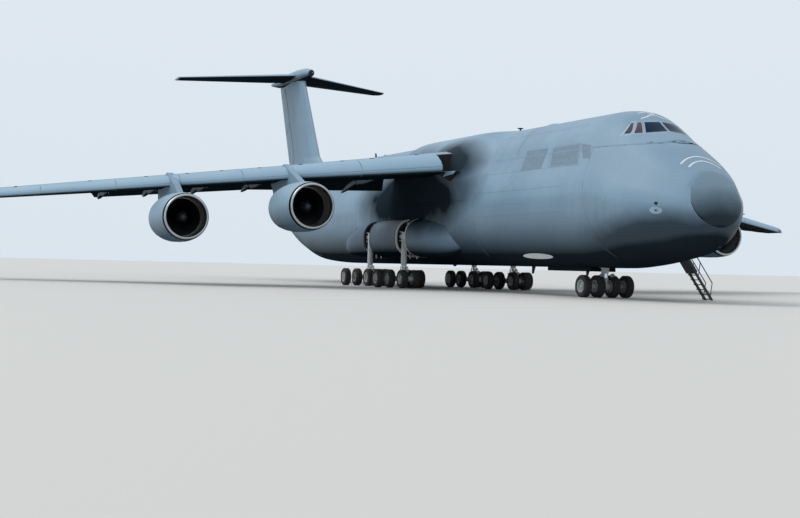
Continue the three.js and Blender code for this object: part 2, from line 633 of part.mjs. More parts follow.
const tailRing = (y, grow = 1) => {
  const lead = tailAt(TAIL.lead0, TAIL.lead1, y);
  const chord = (tailAt(TAIL.trail0, TAIL.trail1, y) - lead) * grow;
  return foilRing(lead, chord, (s, up) => [s, y, tailAt(TAIL.z0, TAIL.z1, y) + up], TAIL_FOIL);
};
const tailPanel = loft([tailRing(TAIL.y0), tailRing(TAIL.tip - 0.3), tailRing(TAIL.tip, 0.9)]);
const elevatorEdge = (y) => {
  const lead = tailAt(TAIL.lead0, TAIL.lead1, y);
  return lead + ELEVATOR.share * (tailAt(TAIL.trail0, TAIL.trail1, y) - lead);
};
const elevatorLine = [
  [elevatorEdge(ELEVATOR.y0), ELEVATOR.y0],
  [elevatorEdge(ELEVATOR.y1), ELEVATOR.y1],
];
const elevatorZone = (gap, ends) => planSlab(aftOf(elevatorLine, gap, ends), 17, 21);
const ELEVATOR_NOSE = 0.09;
const tailHeight = (y) => tailAt(TAIL.z0, TAIL.z1, y);
const tailSpar = (radius, halfStep) =>
  rod([TAIL_PIVOT.s, -1.2, TAIL_PIVOT.z], [TAIL_PIVOT.s, 1.2, TAIL_PIVOT.z], radius, { halfStep });
const tailSide = tailPanel.subtract(elevatorZone(ELEVATOR_NOSE + SEAT_GAP, PANEL_GAP));
const rudderBay = sideSlab(
  aftOf(rudderLine(RUDDER.low, RUDDER.high), RUDDER_NOSE + SEAT_GAP, PANEL_GAP),
  -1,
  1,
);
piece(
  "fin",
  finWhole
    .subtract(join(bodySide, rudderBay))
    .add(bulletWhole)
    .subtract(tailSpar(boreFor(TAIL_PIVOT.radius, 12), true)),
  PAINT,
);
/** One rudder between two heights, with its round nose on the hinge line. */
function rudder(z0, z1) {
  const [from, to] = [z0 + 0.15, z1 - 0.15].map((z) => [finEdge(z, RUDDER.share), 0, z]);
  return finWhole.intersect(sideSlab(aftOf(rudderLine(z0, z1), 0), -1, 1)).add(rod(from, to, RUDDER_NOSE));
}
piece("rudder_lower", rudder(RUDDER.low, RUDDER.split), PAINT);
piece("rudder_upper", rudder(RUDDER.split + PANEL_GAP, RUDDER.high), PAINT);
piece("stabiliser", join(tailSide, mirrored(tailSide), tailSpar(TAIL_PIVOT.radius, false)), PAINT);
pair(
  "elevator",
  tailPanel.intersect(elevatorZone(0)).add(nose(elevatorLine, ELEVATOR_NOSE, tailHeight)),
  PAINT,
);

// Engines: an open cowl round a fan and a core, the core on its pylon under the wing.
const ENGINES = [
  { name: "inner", lip: 22.6, y: 13.17, z: 4.98 },
  { name: "outer", lip: 26.65, y: 19.9, z: 4.2 },
];
// Profiles as distance aft of the lip and radius.
const COWL = [
  [0, 1.32],
  [0.08, 1.39],
  [0.45, 1.475],
  [1.2, 1.54],
  [3.2, 1.53],
  [4.7, 1.38],
  [4.66, 1.33],
  [2.8, 1.32],
  [0.9, 1.2],
  [0.1, 1.25],
];
const CORE_FACE = 1.66;
const CORE = [
  [CORE_FACE, 0],
  [CORE_FACE, 0.5],
  [2.2, 0.8],
  [3.6, 0.95],
  [5.2, 0.95],
  [6.9, 0.62],
  [6.9, 0.5],
  [7.9, 0.12],
  [7.9, 0],
];
const SPINNER = [
  [0.55, 0],
  [0.75, 0.2],
  [1.1, 0.36],
  [1.3, 0.42],
  [1.6, 0.42],
  [1.6, 0.2],
  [CORE_FACE - SEAT_GAP, 0.2],
  [CORE_FACE - SEAT_GAP, 0],
];
const FAN = { blades: 14, root: 0.36, tip: 1.17, middle: 1.42, chord: 0.42, thick: 0.03, stagger: 0.75 };
const PYLON = { half: 0.2, start: 1.5, coreEnd: 6.7 };

/** A fan: its spinner with a ring of flat blades set at an angle. */
function fan({ lip, y, z }) {
  const length = FAN.tip - FAN.root;
  const blades = Array.from({ length: FAN.blades }, (_, i) => {
    const geometry = new THREE.BoxGeometry(FAN.chord * MM, FAN.thick * MM, length * MM);
    geometry.rotateZ(FAN.stagger).translate(0, 0, (FAN.root + length / 2) * MM);
    geometry.rotateX((2 * Math.PI * i) / FAN.blades);
    return solidOf(geometry.translate(...at([lip + FAN.middle, y, z])));
  });
  return join(turned(SPINNER, [lip, y, z], { sides: 12 }), ...blades);
}

/** The wing grown by a seat gap, for whatever rests against it. */
const grownRing = (y) => {
  const gap = 1.4 * SEAT_GAP;
  const foil = AEROFOIL.map(([along, up, down]) => [along, up + gap / chordAt(y), down - gap / chordAt(y)]);
  return foilRing(leadAt(y) - gap, chordAt(y), (s, up, along) => [s, y, wingHeight(y, along) + up], foil);
};
const wingGrown = loft(WING_STATIONS.map(grownRing));

/** The core of one engine, joined to the pylon that holds it under the wing. */
function core({ lip, y, z }) {
  const [lead, chord, high] = [leadAt(y), chordAt(y), wingHeight(y)];
  const outline = [
    [lip + PYLON.start, z + 1.3],
    [lead - 0.9, high - 0.3],
    [lead + 0.2, high + 0.12],
    [lead + 1.1, high + 0.5],
    [lead + 2.4, high + 0.2],
    [lead + 0.5 * chord, high - 0.1],
    [lip + PYLON.coreEnd + 0.8, z + 1.0],
    [lip + PYLON.coreEnd, z],
    [lip + PYLON.start, z],
  ];
  const cowlBore = turned([[0, 0], ...COWL.slice(0, 6).map(([a, r]) => [a, r + SEAT_GAP]), [4.72, 0]], [lip, y, z]);
  const pylon = sideSlab(outline, y - PYLON.half, y + PYLON.half).subtract(join(wingGrown, cowlBore));
  return join(turned(CORE, [lip, y, z], { sides: 16 }), pylon);
}

for (const engine of ENGINES) {
  const centre = [engine.lip, engine.y, engine.z];
  pair(`cowl_${engine.name}`, turned([...COWL, COWL[0]], centre), METAL);
  pair(`core_${engine.name}`, core(engine), PAINT);
  pair(`fan_${engine.name}`, fan(engine), DARK_METAL);
}

// Landing gear: wheels on axles through the bogies' hubs.
const WHEEL = { radius: 0.6225, width: 0.43 };
const AXLE = { radius: 0.1, pin: 0.07, sides: 14 };
const BOGIE = { y: 4.17, fore: 29.75, aft: 36.05, axle: 0.825, half: 0.1, tall: 0.13, hub: 0.17, hubHalf: 0.12 };
const FRONT_PAIR = [-0.43, 0.43];
const REAR_FOUR = [-1.537, -0.673, 0.673, 1.537];
const NOSE = { s: 10.7, wheels: [0.476, 1.359], joint: 1.36 };
const CASTER_JOINT = 1.55;
const TRUNNION = 3.5;
// The slots in the pods: where each begins and ends, and the height at which its arch starts.
const SLOTS = { fore: [28.8, 30.3], aft: [35.35, 36.5] };
const SLOT_FORM = { inner: 2.5, top: 3.9 };

/** The profile of one wheel about its axle: distance to the left of a centre, and radius. */
const wheelProfile = (y) =>
  [
    [-0.5, 0.58],
    [-0.27, 1],
    [0.27, 1],
    [0.5, 0.58],
  ].map(([across, out]) => [y + across * WHEEL.width, out * WHEEL.radius]);

/** Wheels on one axle: a bore of 0 makes the axle part of them. */
function wheelSet(s, y, offsets, bore = 0) {
  const half = 0.34 * WHEEL.width;
  const [first, last] = [offsets[0] - half, offsets.at(-1) + half];
  const profile = [
    [first, bore],
    [first, AXLE.radius],
    ...offsets.flatMap((offset) => {
      const [low, high] = [offset - 0.3 * WHEEL.width, offset + 0.3 * WHEEL.width];
      return [[low, AXLE.radius], ...wheelProfile(offset), [high, AXLE.radius]];
    }),
    [last, AXLE.radius],
    [last, bore],
  ];
  if (bore > 0) profile.push(profile[0]);
  return turned(profile, [s, y, WHEEL.radius], { along: "left", sides: AXLE.sides });
}

/** A bogie beam with a hub at each axle. */
function beam(s) {
  const { y, axle, half, tall, hub, hubHalf } = BOGIE;
  const z = WHEEL.radius;
  const hubs = [s - axle, s + axle];
  const solid = join(
    box(s - axle, s + axle, y - half, y + half, z - tall, z + tall),
    ...hubs.map((h) => rod([h, y - hubHalf, z], [h, y + hubHalf, z], hub)),
  );
  const round = { sides: AXLE.sides, halfStep: true };
  const bores = hubs.map((h) => rod([h, y - 1, z], [h, y + 1, z], boreFor(AXLE.radius, AXLE.sides), round));
  return solid.subtract(join(...bores));
}

/** The fixed upper part of a main leg, down from its trunnion across the pod's slot. */
const upperLeg = (s, low, [start, end]) =>
  join(
    rod([s, BOGIE.y, TRUNNION + 0.3], [s, BOGIE.y, low], 0.2),
    rod([start + SEAT_GAP, BOGIE.y, TRUNNION], [end - SEAT_GAP, BOGIE.y, TRUNNION], 0.16),
  );
const lowerLeg = (s, high) => join(rod([s, BOGIE.y, high], [s, BOGIE.y, WHEEL.radius], 0.17), beam(s));

pair("main_leg_fore", join(upperLeg(BOGIE.fore, CASTER_JOINT, SLOTS.fore), lowerLeg(BOGIE.fore, CASTER_JOINT)), GEAR_PAINT);
pair("main_leg_aft", upperLeg(BOGIE.aft, CASTER_JOINT, SLOTS.aft), GEAR_PAINT);
pair("aft_bogie", lowerLeg(BOGIE.aft, CASTER_JOINT - SEAT_GAP), GEAR_PAINT);
for (const [name, s] of [
  ["fore", BOGIE.fore],
  ["aft", BOGIE.aft],
]) {
  pair(`wheels_${name}_front`, wheelSet(s - BOGIE.axle, BOGIE.y, FRONT_PAIR), TYRE);
  pair(`wheels_${name}_rear`, wheelSet(s + BOGIE.axle, BOGIE.y, REAR_FOUR), TYRE);
}
piece("nose_leg", rod([NOSE.s, 0, NOSE_BAY.roof - SEAT_GAP], [NOSE.s, 0, NOSE.joint], 0.22), GEAR_PAINT);
const noseAxle = rod([NOSE.s, -1.56, WHEEL.radius], [NOSE.s, 1.56, WHEEL.radius], AXLE.pin, {
  sides: AXLE.sides,
  halfStep: true,
});
piece(
  "nose_fork",
  join(rod([NOSE.s, 0, NOSE.joint - SEAT_GAP], [NOSE.s, 0, WHEEL.radius - 0.1], 0.17), noseAxle),
  GEAR_PAINT,
);
pair("wheels_nose", wheelSet(NOSE.s, 0, NOSE.wheels, boreFor(AXLE.pin, AXLE.sides)), TYRE);

// Gear pods on the body's sides, with a tall arched slot for each main leg.
const POD = { y: 3.1, power: 0.8 };
const POD_ROWS = [
  { s: 22.6, wide: 0.55, tall: 0.7, z: 3.1 },
  { s: 24.2, wide: 1.02, tall: 1.15, z: 3.1 },
  { s: 26, wide: 1.34, tall: 1.4, z: 3.15 },
  { s: 28.1, wide: 1.45, tall: 1.42, z: 3.25 },
  { s: 28.7, wide: 1.46, tall: 1.29, z: 3.42 },
  { s: 40.2, wide: 1.46, tall: 1.29, z: 3.42 },
  { s: 41.6, wide: 1.1, tall: 1.05, z: 3.4 },
  { s: 43.2, wide: 0.6, tall: 0.5, z: 3.35 },
];
const podRing = ({ s, wide, tall, z }) =>
  Array.from({ length: 20 }, (_, i) => {
    const angle = (i * Math.PI) / 10;
    const [across, up] = [Math.cos(angle), Math.sin(angle)].map((v) => Math.sign(v) * Math.abs(v) ** POD.power);
    return [s, POD.y + wide * across, z + tall * up];
  });
/** The room for one leg: a slot whose top is an arch. */
function slot([start, end]) {
  const middle = (start + end) / 2;
  const { inner, top } = SLOT_FORM;
  return join(box(start, end, inner, 6, 1, top), rod([middle, inner, top], [middle, 6, top], (end - start) / 2));
}
pair("gear_pod", loft(POD_ROWS.map(podRing)).subtract(join(bodySide, slot(SLOTS.fore), slot(SLOTS.aft))), PAINT);

// The crew door, let down as a slab that carries a folding stair.
const STAIR = { top: [2.9, 2.72], foot: [CREW_DOOR.foot, 0.03], slabShare: 0.42, treads: 6, inset: 0.12 };
/** A place on the slope from the sill to the ground, at a share of the way and sunk by a depth. */
const onStair = (share, depth = 0) => STAIR.top.map((v, i) => v + (STAIR.foot[i] - v) * share - (i ? 1 : 0.7) * depth);
const doorSlab = frontSlab(
  [onStair(0), onStair(STAIR.slabShare), onStair(STAIR.slabShare, 0.14), onStair(0, 0.14)],
  CREW_DOOR.s0,
  CREW_DOOR.s1,
);
const stringer = (s) => frontSlab([onStair(0.36), STAIR.foot, onStair(1, 0.12), onStair(0.36, 0.12)], s, s + 0.06);
const treads = Array.from({ length: STAIR.treads }, (_, i) => {
  const [y, z] = onStair(STAIR.slabShare + ((i + 0.6) / STAIR.treads) * (1 - STAIR.slabShare));
  return box(CREW_DOOR.s0 + STAIR.inset, CREW_DOOR.s1 - STAIR.inset, y - 0.2, y + 0.02, z - 0.08, z - 0.03);
});
const stair = join(
  doorSlab,
  stringer(CREW_DOOR.s0 + STAIR.inset),
  stringer(CREW_DOOR.s1 - STAIR.inset - 0.06),
  ...treads,
);
piece("crew_door_stair", stair.subtract(bodySide).intersect(within(5, 10, 0.01)), PAINT);

export default plane;
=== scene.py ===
"""Looks of a giant four-engined high-wing military transport plane with a T-tail, as a 1:2 scale model.

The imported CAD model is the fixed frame. Stations are metres aft of the nose on the real plane, y is to its
left and z is up from the ground; place() turns such a point into the model's own metres.
"""

import logging
import math
from dataclasses import dataclass
from enum import Enum
from typing import Sequence

import bmesh
import bpy
import numpy as np
from mathutils import Matrix, Vector


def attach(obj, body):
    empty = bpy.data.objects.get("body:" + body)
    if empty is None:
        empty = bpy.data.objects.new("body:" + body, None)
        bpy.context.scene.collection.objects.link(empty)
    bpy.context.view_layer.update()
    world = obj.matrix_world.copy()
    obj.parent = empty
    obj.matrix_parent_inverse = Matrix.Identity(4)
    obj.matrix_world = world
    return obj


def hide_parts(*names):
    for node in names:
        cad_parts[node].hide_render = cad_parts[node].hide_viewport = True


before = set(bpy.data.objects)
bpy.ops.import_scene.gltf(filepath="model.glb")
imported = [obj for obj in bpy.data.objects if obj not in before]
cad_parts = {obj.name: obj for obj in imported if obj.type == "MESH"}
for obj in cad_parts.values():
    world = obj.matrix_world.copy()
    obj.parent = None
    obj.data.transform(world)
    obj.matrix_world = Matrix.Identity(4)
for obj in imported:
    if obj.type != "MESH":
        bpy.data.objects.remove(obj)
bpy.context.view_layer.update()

log = logging.getLogger("transport_plane")

SCALE = 0.5
LENGTH = 75.31
MM = 0.001
SIDES = {"left": 1.0, "right": -1.0}
Point = tuple[float, float, float]


def place(s: float, y: float, z: float) -> Point:
    """A real place in the model's metres: metres aft of the nose, to the left and above the ground."""
    return ((LENGTH / 2 - s) * SCALE, y * SCALE, z * SCALE)


def turns(steps: int) -> list[float]:
    """Angles in radians that go round once in equal steps."""
    return [2 * math.pi * i / steps for i in range(steps)]


def scaled(profile: Sequence[tuple[float, float]]) -> list[tuple[float, float]]:
    """Pairs of real metres as pairs of model metres."""
    return [(a * SCALE, b * SCALE) for a, b in profile]


def between(corners: Sequence[Sequence[float]], u: float, v: float) -> np.ndarray:
    """A place among four corners, at shares u of the way to the second corner and v to the last."""
    a, b, c, d = (np.array(corner, float) for corner in corners)
    return (a * (1 - u) + b * u) * (1 - v) + (d * (1 - u) + c * u) * v


def both_sides(path: Sequence[tuple[float, float]]) -> list[list[tuple[float, float]]]:
    """A line of stations and directions in degrees, and its mirror image."""
    return [list(path), [(s, 180 - a) for s, a in path]]


def linear(code: str) -> tuple[float, float, float, float]:
    """An sRGB hex colour as linear red, green, blue and alpha.

    Args:
        code: Six hex digits after a hash sign.

    Returns:
        Four numbers for a shader's colour socket.
    """
    values = [int(code[i : i + 2], 16) / 255 for i in (1, 3, 5)]
    parts = [v / 12.92 if v <= 0.04045 else ((v + 0.055) / 1.055) ** 2.4 for v in values]
    return (parts[0], parts[1], parts[2], 1.0)


# Materials.


def add_node(tree: bpy.types.NodeTree, kind: str, inputs: dict | None = None, **settings) -> bpy.types.Node:
    """Adds a shader node with its settings and links.

    Args:
        tree: The node tree that gets the node.
        kind: Blender's name for the node's type.
        inputs: Socket names or numbers, each with a value or with the output socket that feeds it.
        **settings: The node's own properties.

    Returns:
        The new node.
    """
    node = tree.nodes.new(kind)
    for name, value in settings.items():
        setattr(node, name, value)
    for name, value in (inputs or {}).items():
        if isinstance(value, bpy.types.NodeSocket):
            tree.links.new(value, node.inputs[name])
        else:
            node.inputs[name].default_value = value
    return node


class Surface:
    """One material under construction: its tree, its shader and the place of each point."""

    def __init__(self, name: str, colour: str, roughness: float, metallic: float = 0.0, ior: float = 1.5) -> None:
        """Starts a material with a plain shader.

        Args:
            name: The material's name.
            colour: Base colour as an sRGB hex code.
            roughness: The shader's roughness.
            metallic: 1 for bare metal.
            ior: Index of refraction, left alone on a metal.
        """
        self.material = bpy.data.materials.new(name)
        self.material.use_nodes = True
        self.tree = self.material.node_tree
        self.shader = self.tree.nodes["Principled BSDF"]
        self.shader.inputs["Base Color"].default_value = linear(colour)
        self.shader.inputs["Roughness"].default_value = roughness
        self.shader.inputs["Metallic"].default_value = metallic
        if not metallic:
            self.shader.inputs["IOR"].default_value = ior
        self.place = add_node(self.tree, "ShaderNodeTexCoord").outputs["Object"]
        self.material.diffuse_color = linear(colour)

    def noise(self, size_mm: float, stretch: Point = (1, 1, 1), detail: float = 4.0) -> bpy.types.NodeSocket:
        """Cloudy noise whose patches are about one size across.

        Args:
            size_mm: Size of a patch in millimetres.
            stretch: Factors along x, y and z; below 1 draws the patches out.
            detail: Number of finer layers.

        Returns:
            The noise from 0 to 1.
        """
        mapping = {"Vector": self.place, "Scale": stretch}
        stretched = add_node(self.tree, "ShaderNodeMapping", mapping).outputs["Vector"]
        inputs = {"Vector": stretched, "Scale": 1 / (size_mm * MM), "Detail": detail}
        return add_node(self.tree, "ShaderNodeTexNoise", inputs).outputs["Fac"]

    def ramp(
        self, value: bpy.types.NodeSocket, low: float, high: float, to: tuple[float, float] = (0.0, 1.0)
    ) -> bpy.types.NodeSocket:
        """A value that runs between two results from one limit to the other, and is held outside them."""
        inputs = {"Value": value, "From Min": low, "From Max": high, "To Min": to[0], "To Max": to[1]}
        return add_node(self.tree, "ShaderNodeMapRange", inputs).outputs["Result"]

    def combine(self, operation: str, a, b) -> bpy.types.NodeSocket:
        """Two values or sockets put together by arithmetic, under Blender's name for the operation."""
        return add_node(self.tree, "ShaderNodeMath", {0: a, 1: b}, operation=operation).outputs[0]

    def axis(self, name: str) -> bpy.types.NodeSocket:
        """The point's x, y or z in metres."""
        return add_node(self.tree, "ShaderNodeSeparateXYZ", {"Vector": self.place}).outputs[name]

    def facing(self, name: str) -> bpy.types.NodeSocket:
        """The part of the piece's own surface direction along x, y or z, from -1 to 1."""
        normal = add_node(self.tree, "ShaderNodeTexCoord").outputs["Normal"]
        return add_node(self.tree, "ShaderNodeSeparateXYZ", {"Vector": normal}).outputs[name]

    def tint(self, colour: str, share: bpy.types.NodeSocket | float) -> None:
        """Lays another colour over the base colour.

        Args:
            colour: The colour laid over, as an sRGB hex code.
            share: How much of it shows, from 0 to 1.
        """
        base = self.shader.inputs["Base Color"]
        under = base.links[0].from_socket if base.is_linked else tuple(base.default_value)
        sockets = {0: share, 6: under, 7: linear(colour)}
        mix = add_node(self.tree, "ShaderNodeMix", sockets, data_type="RGBA")
        self.tree.links.new(mix.outputs[2], base)

    def roughen(self, share: bpy.types.NodeSocket, low: float, high: float) -> None:
        """Varies the roughness between two values, by a share from 0 to 1."""
        self.tree.links.new(self.ramp(share, 0, 1, (low, high)), self.shader.inputs["Roughness"])

    def bump(self, height: bpy.types.NodeSocket, depth_mm: float) -> None:
        """Raises and sinks the surface.

        Args:
            height: The relief from 0 to 1.
            depth_mm: Its depth in millimetres.
        """
        inputs = {"Height": height, "Distance": depth_mm * MM, "Strength": 1.0}
        bump = add_node(self.tree, "ShaderNodeBump", inputs)
        self.tree.links.new(bump.outputs["Normal"], self.shader.inputs["Normal"])


@dataclass(frozen=True)
class SprayedTopcoat:
    """Matt polyurethane topcoat sprayed over aluminium sheet.

    It gives the eye a chalky blue grey that fades in clouds, with rain streaks down the sides and faint sheet
    edges at the frames. Painted shade darkens all that faces down and the lowest part of the sides.
    """

    name: str = "matt_blue_grey_topcoat"
    colour: str = "#7591a6"
    faded: str = "#8ba6b9"
    stain_and_shade: str = "#5d7384"
    shade_and_soot_colour: str = "#06090c"
    frame_pitch: float = 510.0
    seam_width: float = 5.0
    streaks: float = 0.55
    cloud_mm: float = 1500.0
    # Strength of the painted shade and soot laid over the paint.
    underside: float = 0.93
    # Heights in model metres between which the lower side darkens a little, then to black, as painted shade.
    low_shade_heights: tuple[float, float] = (2.3, 1.5)
    black_shade_heights: tuple[float, float] = (1.36, 1.1)
    # How far a surface must face down, as the part of its direction along the height, to start and to be black in
    # painted shade.
    turned_down: tuple[float, float] = (0.12, -0.76)
    # Clouds of soot and painted shade: station, real height, half length, half height and strength.
    soot_and_shade_clouds: tuple = ()

    def build(self) -> bpy.types.Material:
        """Builds the material.

        Returns:
            The finished material.
        """
        s = Surface(self.name, self.colour, 0.5)
        patches = s.noise(self.cloud_mm, (1, 1, 1), 5)
        s.tint(self.faded, s.ramp(patches, 0.42, 0.72, (0, 0.55)))
        # Rain draws dirt down the sides: noise stretched along the height, kept to patches of the side.
        drawn_out, patchy = s.noise(75, (1, 1, 0.05), 3), s.noise(2300)
        streak = s.combine("MULTIPLY", s.ramp(drawn_out, 0.5, 0.72), s.ramp(patchy, 0.4, 0.6))
        streak = s.combine("MULTIPLY", streak, s.ramp(s.facing("X"), 0.3, 0.12))
        s.tint(self.stain_and_shade, s.combine("MULTIPLY", streak, self.streaks))
        # Sheet edges at the frames: thin darker lines across the length.
        pitch = self.frame_pitch * MM
        seam = s.ramp(s.combine("PINGPONG", s.axis("X"), pitch / 2), 0, self.seam_width * MM, (1, 0))
        s.tint(self.stain_and_shade, s.combine("MULTIPLY", seam, 0.4))
        # Painted shade: what faces down and the lowest part of the sides darken, to black near the ground.
        down = s.ramp(s.facing("Z"), *self.turned_down)
        s.tint(self.stain_and_shade, s.combine("MULTIPLY", s.ramp(s.axis("Z"), *self.low_shade_heights), 0.3))
        edge = s.combine("ADD", s.axis("Z"), s.ramp(s.noise(500), 0.3, 0.7, (-0.04, 0.04)))
        shade_and_soot_mask = s.combine("MAXIMUM", down, s.ramp(edge, *self.black_shade_heights))
        # Each cloud lays soot and painted shade, black in its core, with a ragged edge.
        for station, height, half_length, half_height, strength in self.soot_and_shade_clouds:
            apart = []
            for name, middle, half in (("X", place(station, 0, 0)[0], half_length), ("Z", height * SCALE, half_height)):
                share = s.combine("DIVIDE", s.combine("SUBTRACT", s.axis(name), middle), half * SCALE)
                apart.append(s.combine("POWER", share, 2.0))
            ragged = s.ramp(s.noise(1200, (1, 1, 1), 2), 0.3, 0.7, (-0.08, 0.12))
            shade_cloud_reach = s.combine("ADD", s.combine("ADD", *apart), ragged)
            shade_and_soot_mask = s.combine("MAXIMUM", shade_and_soot_mask, s.ramp(shade_cloud_reach, 1.0, 0.3, (0, strength)))
        # Painted shade and soot go near black over the paint and take away its gloss.
        s.tint(self.shade_and_soot_colour, s.combine("MULTIPLY", shade_and_soot_mask, self.underside))
        s.tree.links.new(s.ramp(shade_and_soot_mask, 0, 1, (0.5, 0.0)), s.shader.inputs["Specular IOR Level"])
        s.roughen(patches, 0.42, 0.62)
        s.bump(s.noise(700, (1, 1, 1), 1), 0.8)
        return s.material


@dataclass(frozen=True)
class Enamel:
    """Hard enamel sprayed on steel or alloy: an even colour with a low gloss and dirt in patches."""

    name: str
    colour: str
    dirt: str = "#4a4a48"
    roughness: float = 0.42
    dirtiness: float = 0.35
    patch_mm: float = 120.0

    def build(self) -> bpy.types.Material:
        """Builds the material.

        Returns:
            The finished material.
        """
        s = Surface(self.name, self.colour, self.roughness)
        cloud = s.noise(self.patch_mm, (1, 1, 0.6), 5)
        s.tint(self.dirt, s.ramp(cloud, 0.5, 0.8, (0, self.dirtiness)))
        s.roughen(cloud, self.roughness - 0.07, self.roughness + 0.15)
        s.bump(s.noise(self.patch_mm / 3), 0.3)
        return s.material


@dataclass(frozen=True)
class BareMetal:
    """Bare metal sheet, spun or machined: bright, with fine marks drawn out one way that blur its reflections."""

    name: str
    colour: str
    roughness: float = 0.28
    grain: Point = (0.1, 1, 1)
    tarnish: str = "#5d5750"
    tarnished: float = 0.25

    def build(self) -> bpy.types.Material:
        """Builds the material.

        Returns:
            The finished material.
        """
        s = Surface(self.name, self.colour, self.roughness, metallic=1.0)
        marks = s.noise(9, self.grain, 3)
        cloud = s.noise(160, (1, 1, 1), 4)
        s.tint(self.tarnish, s.ramp(cloud, 0.45, 0.8, (0, self.tarnished)))
        s.roughen(marks, self.roughness - 0.08, self.roughness + 0.12)
        s.bump(marks, 0.08)
        return s.material


@dataclass(frozen=True)
class Rubber:
    """Vulcanised tyre rubber, moulded: near black, dull, greyed by dust."""

    name: str = "tyre_rubber"
    colour: str = "#1d1d1f"
    dust: str = "#5c5853"

    def build(self) -> bpy.types.Material:
        """Builds the material.

        Returns:
            The finished material.
        """
        s = Surface(self.name, self.colour, 0.85, ior=1.52)
        cloud = s.noise(70, (1, 1, 1), 5)
        s.tint(self.dust, s.ramp(cloud, 0.42, 0.8, (0.04, 0.4)))
        s.roughen(cloud, 0.78, 0.95)
        s.bump(s.noise(6), 0.25)
        return s.material


@dataclass(frozen=True)
class LaminatedGlass:
    """Laminated windscreen glass, polished: a dark pane with a sharp reflection, tinted by what is behind it."""

    name: str = "windscreen_glass"
    colour: str = "#021a33"
    behind: str = "#05294a"

    def build(self) -> bpy.types.Material:
        """Builds the material.

        Returns:
            The finished material.
        """
        s = Surface(self.name, self.colour, 0.06, ior=1.52)
        s.shader.inputs["Specular IOR Level"].default_value = 0.06
        s.tint(self.behind, s.ramp(s.axis("Z"), 4.3, 4.65, (0, 0.7)))
        s.bump(s.noise(300, (1, 1, 1), 1), 0.3)
        return s.material


# For a coat without the painted shade low down: both heights lie under the floor.
NO_HEIGHT = (-1, -2)
# Station, real height, half length, half height and strength of each dark cloud of soot and painted shade on the body.
BODY_SOOT_AND_SHADE = (
    # Soot at the root of the wing's leading edge, deepened by painted shadow.
    (23.6, 8.1, 4.0, 1.7, 0.95),
    # Painted shadow of the wing on the body, with some soot.
    (30.5, 6.3, 11.5, 3.6, 1.0),
    # Painted shadow on the side over the pods' fronts.
    (27.0, 5.0, 5.5, 1.5, 0.4),
    # Painted shade under the nose.
    (2.0, 2.6, 8.0, 2.3, 0.85),
)
# Painted shade under the radome: station, real height, half length, half height and strength.
RADOME_SHADE = ((2.0, 2.6, 8.0, 3.1, 0.92),)
# A frame pitch too long for any sheet edge to show.
NO_SEAMS = 9000.0


